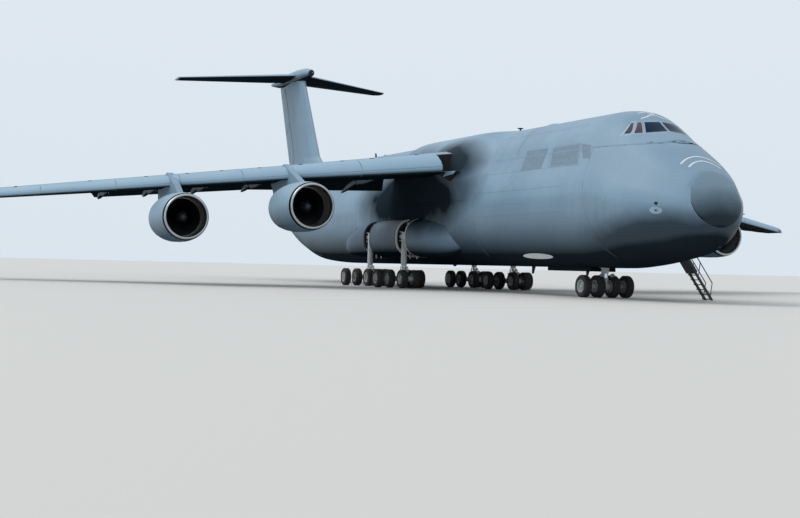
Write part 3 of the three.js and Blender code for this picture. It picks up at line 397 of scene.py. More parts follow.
class Finish(Enum):
    """The finishes, each a material that is built once."""

    # The body's coat: painted shade underneath, with clouds of soot and painted shade.
    TOPCOAT = SprayedTopcoat(soot_and_shade_clouds=BODY_SOOT_AND_SHADE)
    # The wings' coat: painted shade turns their undersides near black.
    WING_TOPCOAT = SprayedTopcoat(
        "wing_topcoat",
        "#7894a8",
        streaks=0.25,
        underside=0.97,
        frame_pitch=900.0,
        low_shade_heights=NO_HEIGHT,
        black_shade_heights=NO_HEIGHT,
    )
    # The radome's coat: painted shade turns its lower side black.
    RADOME = SprayedTopcoat(
        "rain_erosion_radome_coat",
        "#6a8495",
        "#748d9c",
        frame_pitch=NO_SEAMS,
        streaks=0.2,
        turned_down=(0.36, -0.5),
        soot_and_shade_clouds=RADOME_SHADE,
    )
    GEAR_WHITE = Enamel("gloss_white_gear_enamel", "#c9cdcc", "#3f3d3a", 0.35, 0.45)
    HUB_WHITE = Enamel("wheel_hub_enamel", "#b9bcba", "#35332f", 0.45, 0.55, 60.0)
    STAIR = Enamel("stair_green_grey_enamel", "#222b2a", "#1e2120", 0.5, 0.4)
    MARKING = Enamel("white_marking_paint", "#dfe3e4", "#8b9499", 0.6, 0.35, 200.0)
    # Near black in the pods' bulkheads and wells: painted shade in the recesses.
    DARK_BAY = Enamel("bay_painted_shade", "#0e1012", "#060708", 0.75, 0.5)
    SOOT = Enamel("black_rubber_seal", "#0b0c0e", "#1b1c1d", 0.8, 0.3)
    LIP = BareMetal("polished_inlet_lip", "#b4babe", 0.3)
    STEEL = BareMetal("burnished_steel", "#8d8f90", 0.34)
    TITANIUM = BareMetal("titanium_blade", "#34363a", 0.4, (1, 1, 0.1))
    SPINNER = Enamel("spinner_enamel", "#22262a", "#101214", 0.45, 0.3, 60.0)
    DUCT = Enamel("inlet_duct_enamel", "#4a4a47", "#23211e", 0.4, 0.5, 150.0)
    CHROME = BareMetal("chromed_oleo_strut", "#d9dbdc", 0.1, (1, 1, 0.1), "#8a8a88", 0.1)
    RUBBER = Rubber()
    GLASS = LaminatedGlass()
    SHADE_GLASS = LaminatedGlass("shaded_glass", "#4a4047", "#6b565b")
    WINDOW_FRAME = Enamel("pale_window_frame_enamel", "#8ea7b9", "#6f8494", 0.5, 0.25, 90.0)
    TOUCHED_UP = SprayedTopcoat(
        "touched_up_topcoat", "#607787", "#7591a6", cloud_mm=130.0, frame_pitch=NO_SEAMS, streaks=0.3
    )
    # The cowls' coat: less painted shade on their undersides.
    COWL_TOPCOAT = SprayedTopcoat(
        "cowl_topcoat", "#7f9bae", frame_pitch=700.0, low_shade_heights=NO_HEIGHT, black_shade_heights=NO_HEIGHT, underside=0.6
    )
    SLAT_TOPCOAT = SprayedTopcoat(
        "slat_topcoat", "#8aa8bd", "#96b2c4", frame_pitch=NO_SEAMS, streaks=0.15, low_shade_heights=NO_HEIGHT, black_shade_heights=NO_HEIGHT
    )
    # Darker, bluer paint on the pods' panels: painted shadow from the wing and a painted reflection of the sky.
    POD_TOPCOAT = SprayedTopcoat("pod_topcoat_with_painted_shade", "#27435a", "#365570", frame_pitch=640.0, streaks=0.45)
    SEAM = Enamel("sealed_sheet_seam", "#5c7183", "#3f4f5c", 0.6, 0.3, 300.0)
    SEALANT = Enamel("painted_sealant", "#7390a5", "#5d7384", 0.55, 0.4, 200.0)
    LENS = LaminatedGlass("lamp_lens", "#9aa6ae", "#c8d0d6")
    LENS_RED = LaminatedGlass("red_lamp_lens", "#5a0d0d", "#7a1a16")
    LENS_GREEN = LaminatedGlass("green_lamp_lens", "#0b3d24", "#14583a")

    @property
    def material(self) -> bpy.types.Material:
        """The finish's material, built on first use."""
        return bpy.data.materials.get(self.value.name) or self.value.build()


# Meshes.


def add_piece(name: str, mesh: bpy.types.Mesh, finish: Finish, body: str, sharp: float) -> bpy.types.Object:
    """Puts a mesh into the scene as a piece that rides on a body.

    Args:
        name: The piece's name.
        mesh: Its mesh.
        finish: Its finish.
        body: The CAD body it moves with.
        sharp: Edges that turn by more degrees than this stay sharp.

    Returns:
        The new object.
    """
    bm = bmesh.new()
    bm.from_mesh(mesh)
    bmesh.ops.recalc_face_normals(bm, faces=bm.faces)
    bm.to_mesh(mesh)
    bm.free()
    mesh.shade_smooth()
    mesh.set_sharp_from_angle(angle=math.radians(sharp))
    mesh.materials.clear()
    mesh.materials.append(finish.material)
    piece = bpy.data.objects.new(name, mesh)
    bpy.context.scene.collection.objects.link(piece)
    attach(piece, body)
    return piece


class MeshKit:
    """Collects points and faces of one piece from simple parts."""

    def __init__(self) -> None:
        """Starts with nothing."""
        self.vertices: list[Point] = []
        self.faces: list[Sequence[int]] = []

    def add(self, vertices, faces) -> None:
        """Adds a part's points and faces."""
        start = len(self.vertices)
        self.vertices.extend(tuple(float(c) for c in v) for v in vertices)
        self.faces.extend([int(i) + start for i in face] for face in faces)

    def rings(self, rings: Sequence[Sequence[Point]], closed: bool = True, capped: bool = True) -> None:
        """Adds a skin through rings of equally many points.

        Args:
            rings: The rings in order.
            closed: Whether each ring meets itself.
            capped: Whether both ends get a face.
        """
        n = len(rings[0])
        faces = []
        for k in range(len(rings) - 1):
            for i in range(n if closed else n - 1):
                j = (i + 1) % n
                faces.append((k * n + i, k * n + j, (k + 1) * n + j, (k + 1) * n + i))
        if capped:
            faces.append(tuple(range(n)))
            faces.append(tuple(range((len(rings) - 1) * n, len(rings) * n)))
        self.add([p for ring in rings for p in ring], faces)

    def grid(self, points: Sequence[Point], rows: int, columns: int) -> None:
        """Adds a sheet through points that stand in rows and columns."""
        faces = []
        for i in range(rows - 1):
            for j in range(columns - 1):
                k = i * columns + j
                faces.append((k, k + 1, k + columns + 1, k + columns))
        self.add(points, faces)

    def tube(self, profile, centre: Point, axis: Point, steps: int) -> None:
        """Adds a profile turned about a line, open at both ends."""
        self.turned(profile, centre, axis, steps, capped=False)

    def turned(
        self, profile, centre: Point, axis: Point, steps: int = 48, loop: bool = False, capped: bool = True
    ) -> None:
        """Adds a profile turned about a line.

        Args:
            profile: Pairs of distance along the line and radius, in model metres.
            centre: Where distance 0 lies.
            axis: The line's direction.
            steps: Number of steps round.
            loop: Whether the profile meets itself.
            capped: Whether both ends get a face.
        """
        turn = Vector((0, 0, 1)).rotation_difference(Vector(axis)).to_matrix()
        middle = Vector(centre)
        rings = []
        for distance, radius in profile:
            circle = [Vector((radius * math.cos(a), radius * math.sin(a), distance)) for a in turns(steps)]
            rings.append([tuple(middle + turn @ point) for point in circle])
        if loop:
            rings.append(rings[0])
        self.rings(rings, capped=capped and not loop)

    def bar(self, start: Point, end: Point, radius: float, steps: int = 12, end_radius: float | None = None) -> None:
        """Adds a round bar or cone between two model points."""
        run = Vector(end) - Vector(start)
        last = radius if end_radius is None else end_radius
        self.turned([(0, radius), (run.length, last)], start, tuple(run.normalized()), steps)

    def block(self, low: Point, high: Point) -> None:
        """Adds a block between two corners in model metres."""
        (x0, y0, z0), (x1, y1, z1) = low, high
        base = [(x0, y0), (x1, y0), (x1, y1), (x0, y1)]
        self.rings([[(x, y, z) for x, y in base] for z in (z0, z1)])

    def slab(self, outline: Sequence[Point], offset: Point) -> None:
        """Adds a flat outline given depth by an offset."""
        far = [tuple(Vector(p) + Vector(offset)) for p in outline]
        self.rings([list(outline), far])

    def piece(
        self, name: str, finish: Finish, body: str, bevel: float = 0.0, sharp: float = 32.0
    ) -> bpy.types.Object:
        """Turns what was collected into a piece.

        Args:
            name: The piece's name.
            finish: Its finish.
            body: The CAD body it moves with.
            bevel: Width of the rounding on its edges in metres.
            sharp: Edges that turn by more degrees than this stay sharp.

        Returns:
            The new object.
        """
        mesh = bpy.data.meshes.new(name)
        mesh.from_pydata(self.vertices, [], [tuple(face) for face in self.faces])
        made = add_piece(name, mesh, finish, body, sharp)
        if bevel:
            rounding = made.modifiers.new("edge_rounding", "BEVEL")
            rounding.width = bevel
            rounding.segments = 2
            rounding.limit_method = "ANGLE"
            rounding.harden_normals = True
        return made


def smooth_curve(xs: np.ndarray, ys: np.ndarray, at: np.ndarray) -> np.ndarray:
    """A smooth curve through points that never overshoots them.

    Args:
        xs: Where the points are, rising.
        ys: Their values.
        at: Where the curve is wanted.

    Returns:
        The curve's values.
    """
    step = np.diff(xs)
    rise = np.diff(ys) / step
    slope = np.zeros_like(ys)
    inner = rise[:-1] * rise[1:] > 0
    weight_a = 2 * step[1:] + step[:-1]
    weight_b = step[1:] + 2 * step[:-1]
    safe = np.where(inner, rise[:-1], 1), np.where(inner, rise[1:], 1)
    slope[1:-1] = np.where(inner, (weight_a + weight_b) / (weight_a / safe[0] + weight_b / safe[1]), 0)
    slope[0], slope[-1] = rise[0], rise[-1]
    at = np.clip(at, xs[0], xs[-1])
    k = np.clip(np.searchsorted(xs, at) - 1, 0, len(step) - 1)
    t = (at - xs[k]) / step[k]
    h = step[k]
    return (
        ys[k] * (1 + 2 * t) * (1 - t) ** 2
        + slope[k] * h * t * (1 - t) ** 2
        + ys[k + 1] * t**2 * (3 - 2 * t)
        + slope[k + 1] * h * t**2 * (t - 1)
    )


@dataclass(frozen=True)
class HullForm:
    """The body's outer form: two lobes joined by tangents, drawn through a table of sections.

    The CAD solids hold its sections as flat facets. fair() moves the points that lie on those facets out to the
    smooth form.
    """

    half_width: float = 3.6
    floor: float = 1.65
    crown: float = 10.13
    lower: tuple[float, float] = (3.6, 5.25)
    upper: tuple[float, float] = (2.75, 7.38)
    underside_power: float = 2.7
    # A point lies on the form down to this share of its reach less this depth, and up to this height over it.
    near: tuple[float, float, float] = (0.996, 0.03, 0.15)
    # Station, height of belly and crown, half width, and how far the section is a plain ellipse.
    sections: tuple = (
        (0.0, 4.42, 4.58, 0.08, 1.0),
        (0.08, 4.02, 4.96, 0.5, 1.0),
        (0.3, 3.62, 5.56, 1.08, 1.0),
        (0.85, 3.12, 6.26, 1.77, 0.9),
        (1.65, 2.74, 6.9, 2.35, 0.7),
        (2.6, 2.38, 7.53, 2.84, 0.5),
        (3.9, 2.15, 8.28, 3.21, 0.22),
        (4.94, 2.02, 8.86, 3.4, 0.13),
        (5.73, 1.9, 9.4, 3.45, 0.05),
        (6.93, 1.77, 9.98, 3.58, 0.0),
        (8.5, 1.66, 10.13, 3.6, 0.0),
        (11.0, 1.65, 10.13, 3.6, 0.0),
        (49.0, 1.65, 10.13, 3.6, 0.0),
        (53.0, 1.78, 10.13, 3.57, 0.0),
        (56.0, 2.4, 10.12, 3.48, 0.0),
        (59.3, 3.37, 10.08, 3.24, 0.1),
        (63.0, 4.85, 10.0, 2.76, 0.3),
        (67.0, 6.5, 9.85, 2.05, 0.6),
        (70.0, 7.65, 9.6, 1.3, 0.9),
        (72.2, 8.55, 9.3, 0.42, 1.0),
    )

    def outline(self, lower_steps: int, upper_steps: int) -> np.ndarray:
        """The full section's right and left side as shares of its half width and height.

        Args:
            lower_steps: Steps round the lower lobe.
            upper_steps: Steps round the upper lobe.

        Returns:
            Pairs of y share and height share, going round once.
        """
        tangent = math.asin((self.lower[0] - self.upper[0]) / (self.upper[1] - self.lower[1]))
        angles = [(self.lower, a) for a in np.linspace(-math.pi / 2, tangent, lower_steps + 1)]
        angles += [(self.upper, a) for a in np.linspace(tangent, math.pi / 2, upper_steps + 1)]
        side = []
        for (radius, centre), angle in angles:
            power = 2 / self.underside_power if angle < 0 else 1
            across = abs(math.cos(angle)) ** power
            up = math.copysign(abs(math.sin(angle)) ** power, math.sin(angle))
            height = (centre + radius * up - self.floor) / (self.crown - self.floor)
            side.append((radius * across / self.half_width, height))
        return np.array([(-y, z) for y, z in side] + side[-2:0:-1])

    def rows(self, s: np.ndarray, smooth: bool) -> np.ndarray:
        """Belly, crown, half width and roundness at stations.

        Args:
            s: Stations.
            smooth: Whether the table is drawn through smoothly, or by straight lines as in the CAD solids.

        Returns:
            One row of four values for each station.
        """
        table = np.array(self.sections)
        if not smooth:
            return np.stack([np.interp(s, table[:, 0], table[:, k]) for k in range(1, 5)], axis=1)
        # A square root spreads the blunt nose out, so that it comes out round.
        spread = np.sqrt(table[:, 0])
        return np.stack([smooth_curve(spread, table[:, k], np.sqrt(np.maximum(s, 0))) for k in range(1, 5)], axis=1)

    def ring(self, row: np.ndarray, outline: np.ndarray) -> np.ndarray:
        """A section's points as y and height.

        Args:
            row: Belly, crown, half width and roundness.
            outline: The full section as shares.

        Returns:
            One pair for each point of the outline.
        """
        belly, crown, half, roundness = row
        angle = np.arctan2(2 * outline[:, 1] - 1, outline[:, 0])
        across = outline[:, 0] * (1 - roundness) + np.cos(angle) * roundness
        up = outline[:, 1] * (1 - roundness) + (1 + np.sin(angle)) / 2 * roundness
        return np.stack([across * half, belly + up * (crown - belly)], axis=1)

    def middle(self, s: np.ndarray) -> np.ndarray:
        """Height of the section's middle at stations, along straight lines between sections."""
        row = self.rows(s, smooth=False)
        return (row[:, 0] + row[:, 1]) / 2

    def reach(self, s: np.ndarray, angle: np.ndarray, smooth: bool) -> np.ndarray:
        """Distance of the form from its middle line, read from the table of reaches.

        Args:
            s: Stations.
            angle: Directions round the middle line, 0 to the left and rising upwards.
            smooth: The smooth form, or the CAD solids' facets.

        Returns:
            Real metres for each point.
        """
        stations, directions, table = _reach_table(self, smooth)
        i = np.clip(np.searchsorted(stations, s) - 1, 0, len(stations) - 2)
        u = np.clip((s - stations[i]) / (stations[i + 1] - stations[i]), 0, 1)
        turn = np.mod(angle, 2 * math.pi) / (2 * math.pi) * directions
        j = np.floor(turn).astype(int) % directions
        v = turn - np.floor(turn)
        k = (j + 1) % directions
        low = table[i, j] * (1 - v) + table[i, k] * v
        high = table[i + 1, j] * (1 - v) + table[i + 1, k] * v
        return low * (1 - u) + high * u

    def point(self, s: float, angle: float, lift_mm: float = 0.0) -> Point:
        """A point of the smooth form in the model's metres.

        Args:
            s: Station.
            angle: Direction round the middle line in radians.
            lift_mm: How far it stands off, in the model's millimetres.

        Returns:
            The point.
        """
        stations = np.array([float(s)])
        r = float(self.reach(stations, np.array([angle]), True)[0]) + lift_mm * MM / SCALE
        return place(s, r * math.cos(angle), float(self.middle(stations)[0]) + r * math.sin(angle))

    def angle_at(self, s: float, z: float) -> float:
        """The direction, on the left side, at which the form has a height.

        Args:
            s: Station.
            z: Real height.

        Returns:
            An angle in radians.
        """
        angles = np.linspace(-math.pi / 2, math.pi / 2, 361)
        stations = np.full_like(angles, float(s))
        heights = self.middle(stations) + self.reach(stations, angles, True) * np.sin(angles)
        return float(np.interp(z, heights, angles))

    def ahead_at(self, y: float, z: float, front: float = 3.0, end: float = 9.0) -> float:
        """The station at which a line along the body enters the form, between two stations.

        Args:
            y: Real distance to the left.
            z: Real height.
            front: Where the search starts.
            end: Where it ends.

        Returns:
            The station.
        """
        stations = np.linspace(front, end, 400)
        up = z - self.middle(stations)
        depth = self.reach(stations, np.arctan2(up, y), True) - np.hypot(y, up)
        return float(np.interp(0, depth, stations))

    def upright(self, s: float, angle: float) -> Vector:
        """The direction that stands square on the form.

        Args:
            s: Station.
            angle: Direction round the middle line.

        Returns:
            A unit vector.
        """
        along = Vector(self.point(s + 0.05, angle)) - Vector(self.point(max(s - 0.05, 0.001), angle))
        round_it = Vector(self.point(s, angle + 0.02)) - Vector(self.point(s, angle - 0.02))
        normal = along.cross(round_it).normalized()
        outwards = Vector((0, math.cos(angle), math.sin(angle)))
        return normal if normal.dot(outwards) >= 0 else -normal

    def fair(self, points: np.ndarray) -> tuple[np.ndarray, np.ndarray]:
        """Moves the points that lie on the facets out to the smooth form.

        Args:
            points: Model points, one to a row.

        Returns:
            The moved points, and which of them lie on the form.
        """
        s = LENGTH / 2 - points[:, 0] / SCALE
        y, z = points[:, 1] / SCALE, points[:, 2] / SCALE
        centre = self.middle(s)
        angle = np.arctan2(z - centre, y)
        radius = np.hypot(y, z - centre)
        facet = self.reach(s, angle, False)
        share, below, above = self.near
        on = (radius > facet * share - below) & (radius < facet + above) & (s > -0.01)
        fine = self.reach(s, angle, True)
        moved = points.copy()
        moved[on, 1] = (fine * np.cos(angle) * SCALE)[on]
        moved[on, 2] = ((centre + fine * np.sin(angle)) * SCALE)[on]
        return moved, on


_TABLES: dict[bool, tuple] = {}


def _reach_table(form: HullForm, smooth: bool) -> tuple[np.ndarray, int, np.ndarray]:
    """The form's reach worked out once for many stations and directions.

    Args:
        form: The hull form.
        smooth: The smooth form, or the CAD solids' facets.

    Returns:
        Stations, number of directions, and the table of reaches.
    """
    if smooth in _TABLES:
        return _TABLES[smooth]
    directions = 1080
    outline = form.outline(60, 40) if smooth else form.outline(8, 5)
    fine = np.linspace(0, math.sqrt(form.sections[-1][0]), 420) ** 2
    stations = np.unique(np.concatenate([fine, [row[0] for row in form.sections]]))
    rows = form.rows(stations, smooth)
    centres = form.middle(stations)
    wanted = np.arange(directions) * 2 * math.pi / directions
    table = np.empty((len(stations), directions))
    for i, row in enumerate(rows):
        ring = form.ring(row, outline) - np.array([0, centres[i]])
        table[i] = ray_lengths(ring, wanted)
    _TABLES[smooth] = (stations, directions, table)
    return _TABLES[smooth]


def ray_lengths(ring: np.ndarray, angles: np.ndarray) -> np.ndarray:
    """How far rays from the origin run to a closed outline round it.

    Args:
        ring: The outline's points.
        angles: The rays' directions.

    Returns:
        One length for each ray.
    """
    turns = np.unwrap(np.arctan2(ring[:, 1], ring[:, 0]))
    if turns[-1] < turns[0]:
        ring, turns = ring[::-1], turns[::-1]
    ends = np.concatenate([turns, [turns[0] + 2 * math.pi]])
    loop = np.concatenate([ring, ring[:1]])
    asked = np.mod(angles - ends[0], 2 * math.pi) + ends[0]
    k = np.clip(np.searchsorted(ends, asked, side="right") - 1, 0, len(ring) - 1)
    a, b = loop[k], loop[k + 1]
    run = b - a
    across = np.cos(asked) * run[:, 1] - np.sin(asked) * run[:, 0]
    return (a[:, 0] * run[:, 1] - a[:, 1] * run[:, 0]) / np.where(np.abs(across) < 1e-12, 1e-12, across)


HULL = HullForm()


# Height of the real line that faces are taken to look away from.
CORE_HEIGHT = 6.0
# The flight deck keeps its CAD form ahead of this station, where its hinge lugs are.
HINGE_END = 3.74
# Rounds of splitting that bring any edge of a shell under its longest.
SPLIT_ROUNDS = 9


def outer_edges(bm: bmesh.types.BMesh, fixed_ahead: float) -> list[bmesh.types.BMEdge]:
    """The edges that lie on the hull form and border a face that looks outwards.

    Args:
        bm: The mesh.
        fixed_ahead: Station ahead of which nothing counts.

    Returns:
        The edges.
    """
    bm.verts.index_update()
    bm.normal_update()
    _, on = HULL.fair(np.array([v.co for v in bm.verts]))
    found = []
    for edge in bm.edges:
        if not all(on[v.index] for v in edge.verts):
            continue
        if any(LENGTH / 2 - v.co.x / SCALE < fixed_ahead for v in edge.verts):
            continue
        away = (edge.verts[0].co + edge.verts[1].co) / 2 - Vector((0, 0, CORE_HEIGHT * SCALE))
        away.x = 0
        if any(face.normal.dot(away) > 0.3 * away.length or face.normal.x > 0.6 for face in edge.link_faces):
            found.append(edge)
    return found


def faired_shell(
    node: str, body: str, finish: Finish, longest: float = 0.16, fixed_ahead: float = -1.0
) -> bpy.types.Object:
    """A fine copy of a CAD shell whose outside follows the smooth hull form, in place of the node.

    Args:
        node: The CAD node.
        body: The body it rides on.
        finish: Its finish.
        longest: Longest edge left on the outside, in model metres.
        fixed_ahead: Station ahead of which the CAD form stays.

    Returns:
        The piece that stands for the node.
    """
    bm = bmesh.new()
    bm.from_mesh(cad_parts[node].data)
    bmesh.ops.remove_doubles(bm, verts=bm.verts, dist=2e-5)
    for _ in range(SPLIT_ROUNDS):
        long = [e for e in outer_edges(bm, fixed_ahead) if e.calc_length() > longest]
        if not long:
            break
        bmesh.ops.subdivide_edges(bm, edges=long, cuts=1)
        bmesh.ops.triangulate(bm, faces=[f for f in bm.faces if len(f.verts) > 3])
    skin = {v for e in outer_edges(bm, fixed_ahead) for v in e.verts}
    points, _ = HULL.fair(np.array([v.co for v in bm.verts]))
    for vertex, point in zip(bm.verts, points):
        if vertex in skin:
            vertex.co = point
    mesh = bpy.data.meshes.new(f"{node}_skin")
    bm.to_mesh(mesh)
    bm.free()
    piece = add_piece(f"{node}_skin", mesh, finish, body, 40.0)
    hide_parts(node)
    return piece


def smooth_path(points: Sequence[Point], steps: int = 6) -> list[np.ndarray]:
    """A path drawn smoothly through points.

    Args:
        points: The points it passes through.
        steps: Steps from one point to the next.

    Returns:
        The path's points.
    """
    known = [np.array(p, float) for p in points]
    known = [2 * known[0] - known[1], *known, 2 * known[-1] - known[-2]]
    path = []
    for k in range(1, len(known) - 2):
        a, b, c, d = known[k - 1 : k + 3]
        for i in range(steps):
            u = i / steps
            square, cube = 2 * a - 5 * b + 4 * c - d, 3 * b - a - 3 * c + d
            path.append(0.5 * (2 * b + (c - a) * u + square * u**2 + cube * u**3))
    return [*path, known[-2]]


class HullKit(MeshKit):
    """Collects trim that lies on the body's smooth form."""

    def strip(
        self, path: Sequence[tuple[float, float]], width_mm: float, lift_mm: float = 2.0, steps: int = 6
    ) -> None:
        """Adds a flat strip that follows a line.

        Args:
            path: Stations and directions in degrees that the line passes through.
            width_mm: Its width in the model's millimetres.
            lift_mm: How far it stands off the skin.
            steps: Steps between two places of the path.
        """
        line = [(s, math.radians(a)) for s, a in smooth_path(path, steps)]
        places = [Vector(HULL.point(s, a, lift_mm)) for s, a in line]
        left, right = [], []
        for k, (s, a) in enumerate(line):
            run = places[min(k + 1, len(places) - 1)] - places[max(k - 1, 0)]
            side = run.cross(HULL.upright(s, a)).normalized() * (width_mm * MM / 2)
            left.append(tuple(places[k] + side))
            right.append(tuple(places[k] - side))
        count = len(places)
        self.add(left + right, [(k, k + 1, count + k + 1, count + k) for k in range(count - 1)])

    def loop(self, corners: Sequence[tuple[float, float]], width_mm: float, lift_mm: float = 2.0) -> None:
        """Adds a strip along each side of an outline of stations and directions in degrees."""
        for start, end in zip(corners, [*corners[1:], corners[0]]):
            self.strip([start, end], width_mm, lift_mm)

    def patch(self, corners: Sequence[tuple[float, float]], lift_mm: float = 1.5, steps: int = 10) -> None:
        """Adds a four-sided patch of the form.

        Args:
            corners: Stations and directions in degrees, going round.
            lift_mm: How far it stands off the skin.
            steps: Steps along each side.
        """
        shares = [i / steps for i in range(steps + 1)]
        places = [between(corners, u, v) for u in shares for v in shares]
        points = [HULL.point(s, math.radians(degrees), lift_mm) for s, degrees in places]
        self.grid(points, steps + 1, steps + 1)

    def oval(self, s: float, degrees: float, half_s: float, half_degrees: float, lift_mm: float = 2.0) -> None:
        """Adds an oval patch of the form round a place."""
        steps = 28
        edge = [
            HULL.point(s + half_s * math.cos(a), math.radians(degrees + half_degrees * math.sin(a)), lift_mm)
            for a in turns(steps)
        ]
        middle = HULL.point(s, math.radians(degrees), lift_mm)
        self.add([*edge, middle], [(k, (k + 1) % steps, steps) for k in range(steps)])


# Sub-assemblies.


@dataclass
class Fuselage:
    """The hollow body: barrels, flight deck, visor with its radome, ramp and rear doors."""

    shells: tuple = (
        ("fuselage_forward", "airframe"),
        ("fuselage_centre", "airframe"),
        ("fuselage_aft", "airframe"),
        ("flight_deck", "airframe"),
        ("nose_visor", "visor"),
        ("aft_ramp", "ramp"),
        ("aft_door_left", "rear_door_left"),
        ("aft_door_right", "rear_door_right"),
    )

    def build(self) -> None:
        """Builds all the shells."""
        for node, body in self.shells:
            faired_shell(node, body, Finish.TOPCOAT, fixed_ahead=HINGE_END if node == "flight_deck" else -1.0)
        faired_shell("nose_radome", "visor", Finish.RADOME, 0.06)


@dataclass
class FlightDeckWindows:
    """The windscreen: six flush panes in pale frames, three a side."""

    # From the middle outwards, y and height of each pane's corners seen from the front, and its frame's width.
    panes: tuple = (
        (((0.06, 8.75), (1.25, 8.62), (0.89, 9.27), (0.06, 9.32)), Finish.GLASS, 20.0),
        (((1.37, 8.62), (1.72, 8.6), (1.18, 9.25), (1.0, 9.27)), Finish.SHADE_GLASS, 20.0),
        (((1.83, 8.59), (2.05, 8.58), (1.47, 9.2), (1.29, 9.24)), Finish.SHADE_GLASS, 46.0),
    )
    inset_mm: float = 4.0
    frame_lift_mm: float = 3.0
    steps: int = 8

    def build(self) -> None:
        """Builds the panes and their frames on both sides."""
        frames = MeshKit()
        kits = {Finish.GLASS: MeshKit(), Finish.SHADE_GLASS: MeshKit()}
        for side, k in SIDES.items():
            for corners, finish, frame_mm in self.panes:
                # The sun shades are down on the right side only.
                self.add_pane(kits[finish if side == "right" else Finish.GLASS], corners, k)
                self.add_frame(frames, corners, frame_mm, k)
        clear = kits[Finish.GLASS].piece("windscreen_panes", Finish.GLASS, "airframe")
        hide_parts("flight_deck_glass")
        kits[Finish.SHADE_GLASS].piece("shaded_side_panes", Finish.SHADE_GLASS, "airframe")
        frames.piece("windscreen_frames", Finish.WINDOW_FRAME, "airframe", sharp=50)

    def on_form(self, corners, u: float, v: float, side: float, lift_mm: float) -> Point:
        """A place in a pane.

        Args:
            corners: The pane's corners.
            u: Share of the way outwards.
            v: Share of the way up.
            side: 1 on the left and -1 on the right.
            lift_mm: How far it stands off the form.

        Returns:
            The model point.
        """
        y, z = between(corners, u, v)
        s = HULL.ahead_at(y, z)
        angle = math.atan2(z - float(HULL.middle(np.array([s]))[0]), y * side)
        return HULL.point(s, angle, lift_mm)

    def add_pane(self, kit: MeshKit, corners, side: float) -> None:
        """Adds one pane, a little larger than its opening."""
        shares = np.linspace(-0.03, 1.03, self.steps + 1)
        points = [self.on_form(corners, u, v, side, -self.inset_mm) for u in shares for v in shares]
        kit.grid(points, self.steps + 1, self.steps + 1)

    def add_frame(self, kit: MeshKit, corners, frame_mm: float, side: float) -> None:
        """Adds the pale frame round one pane."""
        wide = abs(corners[1][0] - corners[0][0])
        tall = abs(corners[3][1] - corners[0][1])
        out_u = min(frame_mm * MM / SCALE / wide, 0.32)
        out_v = frame_mm * MM / SCALE / tall
        rim = np.linspace(0, 1, self.steps + 1)
        around = [(t, 0) for t in rim[:-1]] + [(1, t) for t in rim[:-1]]
        around += [(1 - t, 1) for t in rim[:-1]] + [(0, 1 - t) for t in rim[:-1]]
        rings = []
        for grow, lift in ((-0.05, -self.inset_mm), (-0.05, self.frame_lift_mm), (1, self.frame_lift_mm), (1.2, -2)):
            ring = []
            for u, v in around:
                du, dv = (2 * u - 1) * out_u * grow, (2 * v - 1) * out_v * grow
                ring.append(self.on_form(corners, u + du, v + dv, side, lift))
            rings.append(ring)
        kit.rings(rings, capped=False)


